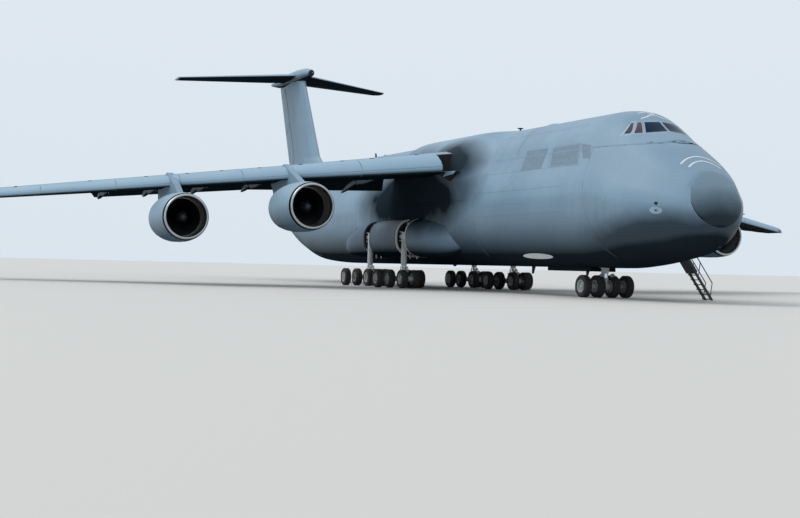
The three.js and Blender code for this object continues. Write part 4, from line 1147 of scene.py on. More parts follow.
@dataclass
class HullMarkings:
    """Painted marks and small fittings on the body's skin."""

    # Refuelling guide marks, as stations and directions in degrees.
    nose_arcs: tuple = (
        ((1.95, 121), (2.08, 111), (2.17, 100), (2.2, 90), (2.17, 80), (2.08, 69), (1.95, 59)),
        ((1.6, 117), (1.74, 106), (1.82, 95), (1.84, 90), (1.82, 85), (1.74, 74), (1.6, 63)),
    )
    crown_bars: tuple = (
        ((6.08, 103), (6.14, 97), (6.3, 91.5), (6.3, 88.5), (6.14, 83), (6.08, 77)),
        ((6.66, 100), (6.68, 96), (6.7, 91.6)),
        ((6.66, 80), (6.68, 84), (6.7, 88.4)),
        ((6.3, 91.5), (6.5, 91.3), (6.7, 91.6)),
        ((6.3, 88.5), (6.5, 88.7), (6.7, 88.4)),
    )
    # Patches of darker, newer paint where old marks were covered: corners going round.
    cover_patches: tuple = (
        ((12.8, 136.5), (15.3, 136.3), (15.2, 157.7), (12.7, 158.3)),
        ((9.3, 137.2), (12.2, 138.1), (11.7, 156.2), (8.7, 157.8)),
        ((8.0, 139.7), (9.1, 137.5), (8.3, 153.2), (7.6, 152.8)),
    )
    # Hatches and access panels as outlines.
    hatches: tuple = (
        ((9.2, 136.4), (12.4, 137.2), (11.9, 157.2), (8.5, 158.8)),
        ((27.5, 118), (28.7, 118), (28.7, 126), (27.5, 126)),
        ((43.6, 124), (44.9, 124), (44.9, 134), (43.6, 134)),
    )
    # Directions in degrees of the lap seams along the forward body.
    laps: tuple[int, ...] = (118, 158, 178, 200)
    # Stations, root height and height of the blade aerials, below zero to hang down, and a blade's chords.
    blades: tuple = ((46.0, 10.12, 0.4), (12.5, 1.66, -0.45), (19.0, 1.66, -0.45))
    blade_chords: tuple[float, float] = (0.5, 0.26)
    # Seals over the level seam under the flight deck: name, body, stations, height and width in millimetres.
    seals: tuple = (
        ("flight_deck_sealant", "airframe", 7.66, 22.0, 7.993, 26),
        ("visor_edge_seal", "visor", 3.85, 7.55, 7.985, 30),
    )

    def build(self) -> None:
        """Builds the marks on both sides."""
        self.build_arcs()
        self.build_patches()
        self.build_seams()
        self.build_lamps()
        self.build_vanes()
        self.build_aerials()

    def build_arcs(self) -> None:
        """Builds the white guide marks of nose and crown."""
        for name, body, paths, wide in (
            ("nose_guide_arcs", "visor", self.nose_arcs, 42),
            ("crown_guide_bars", "airframe", self.crown_bars, 40),
        ):
            kit = HullKit()
            for path in paths:
                kit.strip(path, wide)
            kit.piece(name, Finish.MARKING, body)

    def build_patches(self) -> None:
        """Builds the patches of darker paint on both sides."""
        kit = HullKit()
        for corners in self.cover_patches:
            for outline in both_sides(corners):
                kit.patch(outline, 1.2, 12)
        kit.piece("covered_mark_patches", Finish.TOUCHED_UP, "airframe")
        for name, body, start, stop, height, wide in self.seals:
            seal = HullKit()
            stations = [float(s) for s in np.linspace(start, stop, int((stop - start) * 3))]
            for line in both_sides([(s, 180 - math.degrees(HULL.angle_at(s, height))) for s in stations]):
                seal.strip(line, wide, 3.5, 3)
            seal.piece(name, Finish.SEALANT, body)

    def build_seams(self) -> None:
        """Builds hatch outlines and the lap seams along the body."""
        kit = HullKit()
        for corners in self.hatches:
            for outline in both_sides(corners):
                kit.loop(outline, 9, 1.6)
        for degrees in self.laps:
            for line in both_sides([(s, degrees) for s in np.linspace(9.5, 22, 8)]):
                kit.strip(line, 7, 1.4, 2)
        kit.piece("skin_lap_seams", Finish.SEAM, "airframe")

    def build_lamps(self) -> None:
        """Builds the pale oval patches on the lower sides."""
        kit = HullKit()
        for degrees in (-124.5, -55.5):
            kit.oval(13.9, degrees, 1.75, 3.4, 3)
        kit.piece("belly_pale_ovals", Finish.MARKING, "airframe")

    def build_vanes(self) -> None:
        """Builds the air data plates with their probes on both cheeks of the visor."""
        plates, probes = HullKit(), HullKit()
        for mirror in (1, -1):
            for s, degrees, half_s, half_degrees in ((2.0, 188.0, 0.3, 4.0), (1.99, 180.3, 0.09, 1.7)):
                a = degrees if mirror > 0 else 180 - degrees
                (plates if half_s > 0.2 else probes).oval(s, a, half_s, half_degrees, 3)
            a = math.radians(188.0 if mirror > 0 else -8.0)
            root, out = Vector(HULL.point(2.0, a)), HULL.upright(2.0, a)
            elbow = root + out * 0.035
            probes.bar(tuple(root), tuple(elbow), 0.018)
            probes.bar(tuple(elbow), tuple(elbow + Vector((0.07, 0, 0))), 0.011)
        plates.piece("air_data_plates", Finish.WINDOW_FRAME, "visor")
        probes.piece("air_data_probes", Finish.SOOT, "visor")

    def build_aerials(self) -> None:
        """Builds the blade aerials, the mast with its flat cap and the domes on the crown."""
        kit = MeshKit()
        for s, low, tall in self.blades:
            self.add_blade(kit, s, low, tall)
        kit.bar(place(21.2, 0, 10.1), place(21.2, 0, 10.33), 0.03)
        kit.bar(place(21.2, 0, 10.31), place(21.2, 0, 10.36), 0.09, 24)
        kit.piece("crown_aerials", Finish.SOOT, "airframe", 0.004)
        domes = MeshKit()
        long, wide, tall = 0.8, 0.34, 0.13
        for s in (16.8, 30.0):
            rings = []
            for u in np.linspace(-0.98, 0.98, 15):
                grow = math.sqrt(1 - u * u)
                ring = []
                for a in np.linspace(0, math.pi, 13):
                    up = 10.1 + grow * tall * math.sin(a) - (0.1 if a in (0, math.pi) else 0)
                    ring.append(place(s + u * long, grow * wide * math.cos(a), up))
                rings.append(ring)
            domes.rings(rings, capped=True)
        domes.piece("crown_domes", Finish.TOPCOAT, "airframe")

    def add_blade(self, kit: MeshKit, s: float, low: float, tall: float) -> None:
        """Adds a swept blade aerial.

        Args:
            kit: Collects it.
            s: Station of its middle.
            low: Real height of its root.
            tall: Its height, below zero to hang down.
        """
        root, tip = self.blade_chords
        across = (0, 0.03, 0.035, 0.02, 0, -0.02, -0.035, -0.03)
        along = (0, 0.15, 0.45, 0.8, 1, 0.8, 0.45, 0.15)
        rings = []
        for share in (0, 0.5, 1):
            chord, thin = root + (tip - root) * share, 1 - 0.4 * share
            start, z = s - root / 2 + (root - tip) * share, low + tall * share
            rings.append([place(start + a * chord, b * thin, z) for a, b in zip(along, across)])
        kit.rings(rings)


@dataclass
class GearPod:
    """The long fairing on one side of the body, open at two tall slots for the main legs."""

    side: str
    power: float = 0.8
    # Station, half width, half height, height and distance out of the middle.
    rows: tuple = (
        (23.0, 0.2, 0.4, 3.1, 2.75),
        (24.0, 0.6, 0.8, 3.15, 2.85),
        (25.2, 0.95, 1.05, 3.22, 2.97),
        (26.5, 1.22, 1.2, 3.3, 3.06),
        (27.7, 1.4, 1.28, 3.38, 3.1),
        (28.7, 1.46, 1.3, 3.42, 3.1),
        (35.0, 1.46, 1.29, 3.42, 3.1),
        (37.0, 1.45, 1.28, 3.4, 3.1),
        (39.0, 1.4, 1.12, 3.22, 3.1),
        (41.0, 1.2, 0.85, 3.02, 3.0),
        (43.1, 0.5, 0.4, 2.85, 2.8),
    )
    # Where the slots for the fore and the aft leg start and end.
    slots: tuple = ((28.8, 30.3), (35.35, 36.5))
    # Where the front part starts to run out into the body, and the body's half width there.
    run_out: tuple[float, float] = (27.4, 28.7)
    body_side: float = 3.55
    rim: float = 0.1
    steps: int = 52

    def ring(self, s: float, grow: float = 0.0) -> list[Point]:
        """The pod's outline at a station, grown by real metres."""
        table = np.array(self.rows)
        at = np.array([s])
        wide, tall, z, middle = (float(smooth_curve(table[:, 0], table[:, k], at)[0]) for k in (1, 2, 3, 4))
        ring = []
        for angle in turns(self.steps):
            across, up = (math.copysign(abs(v) ** self.power, v) for v in (math.cos(angle), math.sin(angle)))
            y = middle + (wide + grow) * across
            merged = float(np.interp(s, self.run_out, (1, 0)))
            if merged and 0 < angle < math.pi / 2:
                bell = self.body_side + (middle + wide - self.body_side) * math.cos(angle) ** 2
                y += (max(bell, middle) - y) * merged if middle + wide > self.body_side else 0
            ring.append(place(s, SIDES[self.side] * y, z + (tall + grow) * up))
        return ring

    def build(self) -> None:
        """Builds skin, bulkheads, rims and what shows in the slots."""
        front, skin, ends, rims, dark_rims = (MeshKit() for _ in range(5))
        fore, aft = self.slots
        spans = ((self.rows[0][0], fore[0]), (fore[1], aft[0]), (aft[1], self.rows[-1][0]))
        for (start, stop), kit in zip(spans, (front, skin, skin)):
            stations = np.linspace(start, stop, max(8, int((stop - start) * 3)))
            kit.rings([self.ring(s) for s in stations], capped=False)
        for slot, kit in ((fore, rims), (aft, dark_rims)):
            for edge, way in zip(slot, (-1, 1)):
                ends.add(self.ring(edge + way * 0.02, -0.01), [range(self.steps)])
                far = edge + way * self.rim
                steps = ((edge, -0.09), (edge, 0.012), (far, 0.012), (far, -0.02))
                kit.rings([self.ring(s, grow) for s, grow in steps], capped=False)
        front.piece(f"gear_pod_{self.side}_front", Finish.TOPCOAT, "airframe", sharp=60)
        shell = skin.piece(f"gear_pod_{self.side}_panels", Finish.POD_TOPCOAT, "airframe", sharp=60)
        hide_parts(f"gear_pod_{self.side}")
        ends.piece(f"gear_pod_{self.side}_bulkheads", Finish.DARK_BAY, "airframe")
        rims.piece(f"gear_pod_{self.side}_fore_rims", Finish.GEAR_WHITE, "airframe")
        dark_rims.piece(f"gear_pod_{self.side}_aft_rims", Finish.POD_TOPCOAT, "airframe")
        self.build_bays()

    def build_bays(self) -> None:
        """Builds the wells behind the slots, near black as painted shade, with their frames and pipes."""
        k = SIDES[self.side]
        wells, frames, pipes = HullKit(), MeshKit(), MeshKit()
        for start, stop in self.slots:
            left, right = both_sides(((start, -58), (stop, -58), (stop, -25), (start, -25)))
            wells.patch(left if k > 0 else right, 4, 12)
            for s in (start + 0.12, stop - 0.12):
                frames.bar(place(s, k * 3.55, 2.0), place(s, k * 3.75, 4.5), 0.03, 8)
                for z in (2.5, 3.1, 3.7):
                    frames.bar(place(s, k * 3.4, z), place(s, k * 4.35, z + 0.12), 0.022, 8)
            for i, z in enumerate((2.35, 2.6, 3.35, 3.95)):
                y = k * (3.6 + 0.08 * i)
                pipes.bar(place(start + 0.05, y, z), place(stop - 0.05, y, z), 0.012, 8)
        wells.piece(f"gear_well_{self.side}", Finish.DARK_BAY, "airframe")
        frames.piece(f"gear_well_{self.side}_frames", Finish.GEAR_WHITE, "airframe", 0.004)
        pipes.piece(f"gear_well_{self.side}_pipes", Finish.STEEL, "airframe")


@dataclass
class MainLeg:
    """What is fixed to one main leg: sliding tube, links, brakes and hoses on the CAD leg and bogie."""

    side: str
    where: str
    s: float
    body: str
    axle: float = 0.825
    y: float = 4.17
    hub: float = 0.6225

    def at(self, aft: float, out: float, z: float) -> Point:
        """The model place at real distances aft and to the left of the leg's middle, and a height."""
        return place(self.s + aft, SIDES[self.side] * self.y + out, z)

    def build(self) -> None:
        """Builds the fittings, on the bogie for an aft leg and on the airframe for a fore leg."""
        tag = f"{self.where}_{self.side}"
        chrome, white, dark = MeshKit(), MeshKit(), MeshKit()
        chrome.bar(self.at(0, 0, 1.5), self.at(0, 0, 1.1), 0.094, 32)
        white.bar(self.at(0, 0, 1.12), self.at(0, 0, 0.98), 0.125, 32)
        for way, reach in ((-1, 0.2), (1, 0.4)):
            knee = self.at(way * 0.52, 0, 1.12)
            for out in (-0.13, 0.13):
                for aft, z in ((0.14, 1.46), (0.2, 0.8)):
                    white.bar(self.at(way * aft, out, z), knee, 0.03, 10, 0.022)
            white.bar(self.at(way * 0.52, -0.16, 1.12), self.at(way * 0.52, 0.16, 1.12), 0.028, 12)
            # The axle's own housing between the wheels, and the brake rods along the beam.
            axle = way * self.axle
            white.bar(self.at(axle, -reach, self.hub), self.at(axle, reach, self.hub), 0.088, 28)
            for out in (-0.16, 0.16):
                end = self.at(axle - way * 0.1, out, self.hub - 0.14)
                dark.bar(self.at(way * 0.12, out, self.hub - 0.2), end, 0.016, 8)
        for out in (-0.2, 0.2):
            hose = [self.at(aft, out, z) for aft, z in ((-0.16, 1.45), (-0.3, 1.2), (-0.24, 0.9), (-0.5, 0.76))]
            path = [tuple(p) for p in smooth_path(hose, 5)]
            for a, b in zip(path, path[1:]):
                dark.bar(a, b, 0.011, 8)
        chrome.piece(f"main_leg_{tag}_sliding_tube", Finish.CHROME, self.body)
        white.piece(f"main_leg_{tag}_links", Finish.GEAR_WHITE, self.body, 0.004)
        dark.piece(f"main_leg_{tag}_hoses", Finish.SOOT, self.body)


@dataclass
class NoseLeg:
    """What is fixed to the nose leg, and the frames and pipes in the bay above it."""

    s: float = 10.7
    hub: float = 0.6225

    def at(self, aft: float, y: float, z: float) -> Point:
        """The model place at a real distance aft of the leg."""
        return place(self.s + aft, y, z)

    def build(self) -> None:
        """Builds the fittings on the fork and what shows in the bay."""
        chrome, white, dark, lamps = (MeshKit() for _ in range(4))
        chrome.bar(self.at(0, 0, 1.34), self.at(0, 0, 1.08), 0.096, 32)
        white.bar(self.at(0, 0, 1.1), self.at(0, 0, 0.5), 0.105, 32, 0.098)
        white.bar(self.at(0, -0.22, self.hub), self.at(0, 0.22, self.hub), 0.1, 28)
        for k in (-1, 1):
            knee = self.at(0.55, k * 0.1, 1.0)
            for z in (1.3, 0.72):
                white.bar(self.at(0.14, k * 0.1, z), knee, 0.026, 10)
            white.bar(self.at(0, k * 0.7, self.hub), self.at(0, k * 1.1, self.hub), 0.075, 24)
            lens, lamp, rear, arm = (self.at(aft, k * 0.34, 1.22) for aft in (-0.275, -0.26, -0.12, -0.18))
            dark.bar(lamp, rear, 0.07, 24, 0.05)
            lamps.bar(lens, lamp, 0.064, 24)
            dark.bar(arm, self.at(0, 0, 1.22), 0.018, 8)
        chrome.piece("nose_leg_sliding_tube", Finish.CHROME, "nose_steering")
        white.piece("nose_leg_links", Finish.GEAR_WHITE, "nose_steering", 0.004)
        dark.piece("nose_lamp_cases", Finish.STEEL, "nose_steering")
        lamps.piece("nose_lamp_lenses", Finish.LENS, "nose_steering")
        self.build_bay()

    def build_bay(self) -> None:
        """Builds the frames and pipes under the bay's roof, and the drag strut."""
        frames, pipes = MeshKit(), MeshKit()
        for s in (11.4, 12.4, 13.4, 14.4, 15.2):
            frames.block(place(s + 0.04, -0.76, 2.36), place(s - 0.04, 0.76, 2.53))
        for k in (-1, 1):
            frames.bar(self.at(0.1, k * 0.12, 1.7), place(13.6, k * 0.5, 2.45), 0.045, 14)
            for off in (0.5, 0.6, 0.68):
                pipes.bar(place(10.2, k * off, 2.4), place(15.5, k * off, 2.4), 0.011, 8)
        frames.piece("nose_bay_frames", Finish.GEAR_WHITE, "airframe", 0.004)
        pipes.piece("nose_bay_pipes", Finish.STEEL, "airframe")


@dataclass(frozen=True)
class WingForm:
    """The wing's form: the aerofoil of the CAD solid swept, tapered, drooped and set nose up."""

    lead_root: float = 19.9
    sweep: float = 0.534
    span: float = 33.945
    kink: float = 13.5
    chords: tuple[float, float, float] = (13.85, 8.65, 4.67)
    drops: tuple[float, float, float] = (0.62, 0.31, 0.0)
    root_height: float = 8.62
    fall: float = 0.0985
    # Shares of the chord: distance from the leading edge, upper face, lower face.
    foil: tuple = (
        (0, -0.03, -0.05),
        (0.02, -0.002, -0.056),
        (0.08, 0.036, -0.052),
        (0.2, 0.06, -0.053),
        (0.4, 0.07, -0.055),
        (0.65, 0.055, -0.035),
        (0.85, 0.026, -0.012),
        (1, 0.004, -0.003),
    )

    def taper(self, y: float, values: tuple[float, float, float]) -> float:
        """A value that runs straight from root to kink and from kink to tip."""
        return float(np.interp(y, (0, self.kink, self.span), values))

    def spot(self, y: float, share: float, up: float) -> Point:
        """A real place at a share of the chord and a share of the chord above the chord line."""
        chord = self.taper(y, self.chords)
        height = self.root_height - self.fall * y - share * self.taper(y, self.drops)
        return (self.lead_root + self.sweep * y + share * chord, y, height + up * chord)

    def face(self, share: float, upper: bool) -> float:
        """The height of a face over the chord line, as a share of the chord."""
        table = np.array(self.foil)
        return float(np.interp(share, table[:, 0], table[:, 1 if upper else 2]))

    def point(self, side: str, y: float, share: float, upper: bool, lift_mm: float = 0.0) -> Point:
        """A model point on one face of one wing."""
        s, y, z = self.spot(y, share, self.face(share, upper))
        lift = lift_mm * MM / SCALE * (1 if upper else -1)
        return place(s, SIDES[side] * y, z + lift)


WING = WingForm()


@dataclass
class WingFairing:
    """The shoulder fairing that carries the wing over the body, with an air scoop on each side."""

    # From the side to the crown, y and height of the full fairing's outline.
    outline: tuple = (
        (3.6, 5.7),
        (3.68, 6.4),
        (3.86, 7.1),
        (3.95, 7.7),
        (3.9, 8.3),
        (3.7, 8.85),
        (3.25, 9.35),
        (2.6, 9.76),
        (1.8, 10.04),
        (0.9, 10.19),
        (0.0, 10.24),
    )
    # Stations where it starts, is full, starts to run out and ends.
    reach: tuple[float, float, float, float] = (19.4, 23.0, 30.5, 36.0)
    rows: int = 64

    def build(self) -> None:
        """Builds the fairing over both shoulders."""
        half = [tuple(p) for p in smooth_path(self.outline, 4)]
        ring = half + [(-y, z) for y, z in reversed(half[:-1])]
        points = []
        for s in np.linspace(self.reach[0], self.reach[3], self.rows):
            rise = float(np.interp(s, self.reach, (0, 1, 1, 0)))
            share = rise * rise * (3 - 2 * rise)
            centre = float(HULL.middle(np.array([s]))[0])
            for y, z in ring:
                angle = math.atan2(z - centre, y)
                hull = float(HULL.reach(np.array([s]), np.array([angle]), True)[0]) - 0.04 * (1 - share)
                radius = hull + (max(math.hypot(y, z - centre), hull) - hull) * share
                points.append(place(s, radius * math.cos(angle), centre + radius * math.sin(angle)))
        kit = MeshKit()
        kit.grid(points, self.rows, len(ring))
        kit.piece("wing_shoulder_fairing", Finish.TOPCOAT, "airframe", sharp=60)
        self.build_scoops()

    def build_scoops(self) -> None:
        """Builds the air scoops under the wing's leading edge: cheeks in the paler slat paint as a painted highlight,
        and a black slab in each mouth as painted shade.
        """
        cheeks, mouths = MeshKit(), MeshKit()
        for k in SIDES.values():
            outline = [place(s, k * 3.6, z) for s, z in ((21.9, 7.5), (23.4, 7.55), (23.9, 7.2), (22.3, 7.32))]
            cheeks.slab(outline, (0, k * 0.25, 0))
            mouth = [place(s, k * 3.6, z) for s, z in ((22.3, 7.3), (23.8, 7.18), (23.2, 6.95))]
            mouths.slab(mouth, (0, k * 0.2, 0))
        cheeks.piece("shoulder_scoops", Finish.SLAT_TOPCOAT, "airframe", 0.01)
        mouths.piece("shoulder_scoop_mouths", Finish.SOOT, "airframe")


@dataclass
class WingTrim:
    """What is fixed to one wing: slats, flap track fairings, lamps, and the front spar face at the root, near black as
    painted shade in the notch.
    """

    side: str
    slat_breaks: tuple[float, ...] = (4.78, 9.2, 13.0, 15.9, 19.5, 23.2, 27.6, 33.2)
    slat_gap: float = 0.035
    # The slat's section as shares of the chord, from its lower rear edge round the nose to its upper rear edge.
    slat_section: tuple = (
        (0.062, -0.053),
        (0.06, -0.0575),
        (0.035, -0.0605),
        (0.016, -0.0605),
        (0.005, -0.056),
        (-0.0005, -0.047),
        (-0.001, -0.036),
        (0.004, -0.023),
        (0.013, -0.007),
        (0.028, 0.009),
        (0.05, 0.025),
        (0.08, 0.0405),
        (0.115, 0.0485),
        (0.118, 0.043),
        (0.08, 0.03),
        (0.03, -0.01),
        (0.03, -0.045),
    )
    tracks: tuple[float, ...] = (5.6, 8.2, 9.9, 12.3, 14.7, 16.9, 18.9, 21.3, 24.6, 29.0)
    fairings: tuple[float, ...] = (6.9, 10.3, 13.9, 17.2, 20.3, 23.2)
    rib_seams: tuple[float, ...] = (7.5, 11.5, 15.9, 20.6, 25.4, 30.0)
    # Distance out and share of the chord of the flap's front edge at both ends.
    flap: tuple = ((5.2, 0.72), (24.0, 0.74))
    lowered: float = 15.0

    def build(self) -> None:
        """Builds all the trim of this wing."""
        self.build_slats()
        self.build_root()
        self.build_fairings()
        self.build_seams()
        self.build_lamps()

    def build_slats(self) -> None:
        """Builds the slats, one skin to a segment, and the dark tracks at their upper rear edge."""
        skin, tracks = MeshKit(), MeshKit()
        k = SIDES[self.side]
        for start, stop in zip(self.slat_breaks, self.slat_breaks[1:]):
            rings = []
            for y in np.linspace(start + self.slat_gap / 2, stop - self.slat_gap / 2, 5):
                spots = [WING.spot(float(y), share, up) for share, up in self.slat_section]
                rings.append([place(s, k * out, z) for s, out, z in spots])
            skin.rings(rings)
        for y in self.tracks:
            low = [WING.point(self.side, y + d, share, True, 3) for d, share in ((-0.09, 0.1), (0.09, 0.1))]
            high = [WING.point(self.side, y + d, share, True, 10) for d, share in ((0.09, 0.16), (-0.09, 0.16))]
            tracks.slab([*low, *high], (0, 0, 0.012))
        skin.piece(f"slats_{self.side}", Finish.SLAT_TOPCOAT, "airframe", sharp=40)
        tracks.piece(f"slat_tracks_{self.side}", Finish.SOOT, "airframe")

    def build_root(self) -> None:
        """Builds the spar face between the innermost slat and the body, near black as painted shade in the notch."""
        kit = MeshKit()
        rows = []
        for y in (3.0, 3.9, 4.72):
            low, high = WING.face(0.1, False) + 0.002, WING.face(0.1, True) - 0.002
            rows += [WING.spot(y, 0.098, low + (high - low) * t) for t in (0, 0.5, 1)]
        kit.grid([place(s, SIDES[self.side] * y, z) for s, y, z in rows], 3, 3)
        kit.piece(f"root_spar_shade_{self.side}", Finish.SOOT, "airframe")

    def hinge(self, y: float) -> Vector:
        """The model place of the flap's hinge line out at y."""
        ends = []
        for out, share in self.flap:
            s, _, z = WING.spot(out, share, WING.face(share, False))
            ends.append(np.array((s, out, z - 0.02)))
        t = (y - self.flap[0][0]) / (self.flap[1][0] - self.flap[0][0])
        s, out, z = ends[0] * (1 - t) + ends[1] * t
        return Vector(place(s, SIDES[self.side] * out, z))

    def build_fairings(self) -> None:
        """Builds the flap track fairings, each split at the hinge into a fixed and a moving half."""
        fixed, moving = MeshKit(), MeshKit()
        k = SIDES[self.side]
        # Share of the chord, half width and depth under the wing's lower face in real metres.
        front = ((0.46, 0.02, 0.02), (0.49, 0.12, 0.12), (0.54, 0.19, 0.24), (0.62, 0.23, 0.33), (0.7, 0.24, 0.36))
        rear = ((0.735, 0.24, 0.35), (0.82, 0.22, 0.31), (0.92, 0.18, 0.25), (1.0, 0.11, 0.15), (1.04, 0.03, 0.05))
        axis = (self.hinge(self.flap[1][0]) - self.hinge(self.flap[0][0])).normalized() * k
        turn = Matrix.Rotation(math.radians(self.lowered), 4, -axis)
        for y in self.fairings:
            for kit, rows in ((fixed, front), (moving, rear)):
                rings = []
                for share, half, deep in rows:
                    s, _, z = WING.spot(y, share, WING.face(min(share, 1.0), False))
                    ring = []
                    for a in turns(20):
                        up = math.sin(a) * (deep if math.sin(a) < 0 else 0.06)
                        ring.append(Vector(place(s, k * y + half * math.cos(a), z + up)))
                    if kit is moving:
                        pivot = self.hinge(y)
                        ring = [pivot + turn @ (point - pivot) for point in ring]
                    rings.append([tuple(point) for point in ring])
                kit.rings(rings)
        fixed.piece(f"track_fairings_front_{self.side}", Finish.WING_TOPCOAT, "airframe", sharp=50)
        moving.piece(f"track_fairings_rear_{self.side}", Finish.WING_TOPCOAT, f"flap_{self.side}", sharp=50)

    def build_seams(self) -> None:
        """Builds the thin skin seams on the wing's two faces."""
        kit = MeshKit()
        half, lift = 0.006, 2.5
        stations = [float(y) for y in np.linspace(5, 33, 15)]
        for share in (0.2, 0.6):
            for upper in (True, False):
                for ends in zip(stations, stations[1:]):
                    line = [WING.point(self.side, y, share, upper, lift) for y in ends]
                    kit.add([(x + d, y, z) for x, y, z in line for d in (-half, half)], [(0, 1, 3, 2)])
        shares = (0.12, 0.2, 0.4, 0.6, 0.7)
        for y in self.rib_seams:
            for ends in zip(shares, shares[1:]):
                line = [WING.point(self.side, y, share, True, lift) for share in ends]
                kit.add([(px, py + d, pz) for px, py, pz in line for d in (-half, half)], [(0, 1, 3, 2)])
        kit.piece(f"wing_seams_{self.side}", Finish.SEAM, "airframe")

    def build_lamps(self) -> None:
        """Builds the coloured lamp at the wing tip."""
        kit = MeshKit()
        s, y, z = WING.spot(33.55, 0.02, -0.025)
        profile = [(-0.1, 0.0005), (-0.09, 0.02), (-0.05, 0.035), (0.05, 0.04), (0.12, 0.02)]
        kit.turned(profile, place(s, SIDES[self.side] * y, z), (-1, 0, 0), 20)
        lens = Finish.LENS_RED if self.side == "left" else Finish.LENS_GREEN
        kit.piece(f"tip_lamp_{self.side}", lens, "airframe")


@dataclass
class TailTrim:
    """The dark front of the bullet fairing, the red lamps on the body, and the ailerons' static wicks."""

    # Station, half width and half height.
    lens_rings: tuple = ((62.56, 0.05, 0.05), (62.62, 0.13, 0.14), (62.75, 0.22, 0.24), (62.95, 0.295, 0.315))
    lens_height: float = 19.12
    wicks: tuple[float, ...] = (25.5, 27.5, 29.5, 31.5)

    def build(self) -> None:
        """Builds lens, lamps and wicks."""
        lens, red, rings = MeshKit(), MeshKit(), []
        for s, wide, tall in self.lens_rings:
            rings.append([place(s, wide * math.cos(a), self.lens_height + tall * math.sin(a)) for a in turns(24)])
        lens.rings(rings)
        lens.piece("bullet_front_lens", Finish.SOOT, "airframe", sharp=60)
        for foot, s, z, way in ((-0.005, 44.0, 10.14, 1), (-0.02, 30.5, 1.66, -1)):
            red.turned([(foot, 0.07), (0.03, 0.06), (0.05, 0.03), (0.055, 0.001)], place(s, 0, z), (0, 0, way), 24)
        red.piece("anticollision_lamps", Finish.LENS_RED, "airframe")
        for side, k in SIDES.items():
            kit = MeshKit()
            for out in self.wicks:
                s, _, z = WING.spot(out, 0.985, 0.0)
                kit.bar(place(s, k * out, z), place(s + 0.28, k * out, z - 0.03), 0.004, 6, 0.002)
            kit.piece(f"aileron_wicks_{side}", Finish.SOOT, f"aileron_{side}")


@dataclass
class StairTrim:
    """The handrails along both sides of the crew stair, with their posts."""

    # From the sill to the ground, distance to the left and height of the rails' feet.
    top: tuple[float, float] = (3.1, 2.55)
    foot: tuple[float, float] = (4.72, 0.34)
    stations: tuple[float, ...] = (7.45, 8.05)
    rail: float = 0.62

    def build(self) -> None:
        """Builds both rails beside the treads."""
        rails = MeshKit()
        for s in self.stations:
            ends = []
            for share in (0.0, 0.5, 1.0):
                y, z = (a + (b - a) * share for a, b in zip(self.top, self.foot))
                ends.append(place(s, y + 0.1, z + self.rail))
                rails.bar(place(s, y, z - 0.06), ends[-1], 0.012, 8)
            rails.bar(ends[0], ends[2], 0.014, 8)
        rails.piece("crew_stair_rails", Finish.STAIR, "airframe")


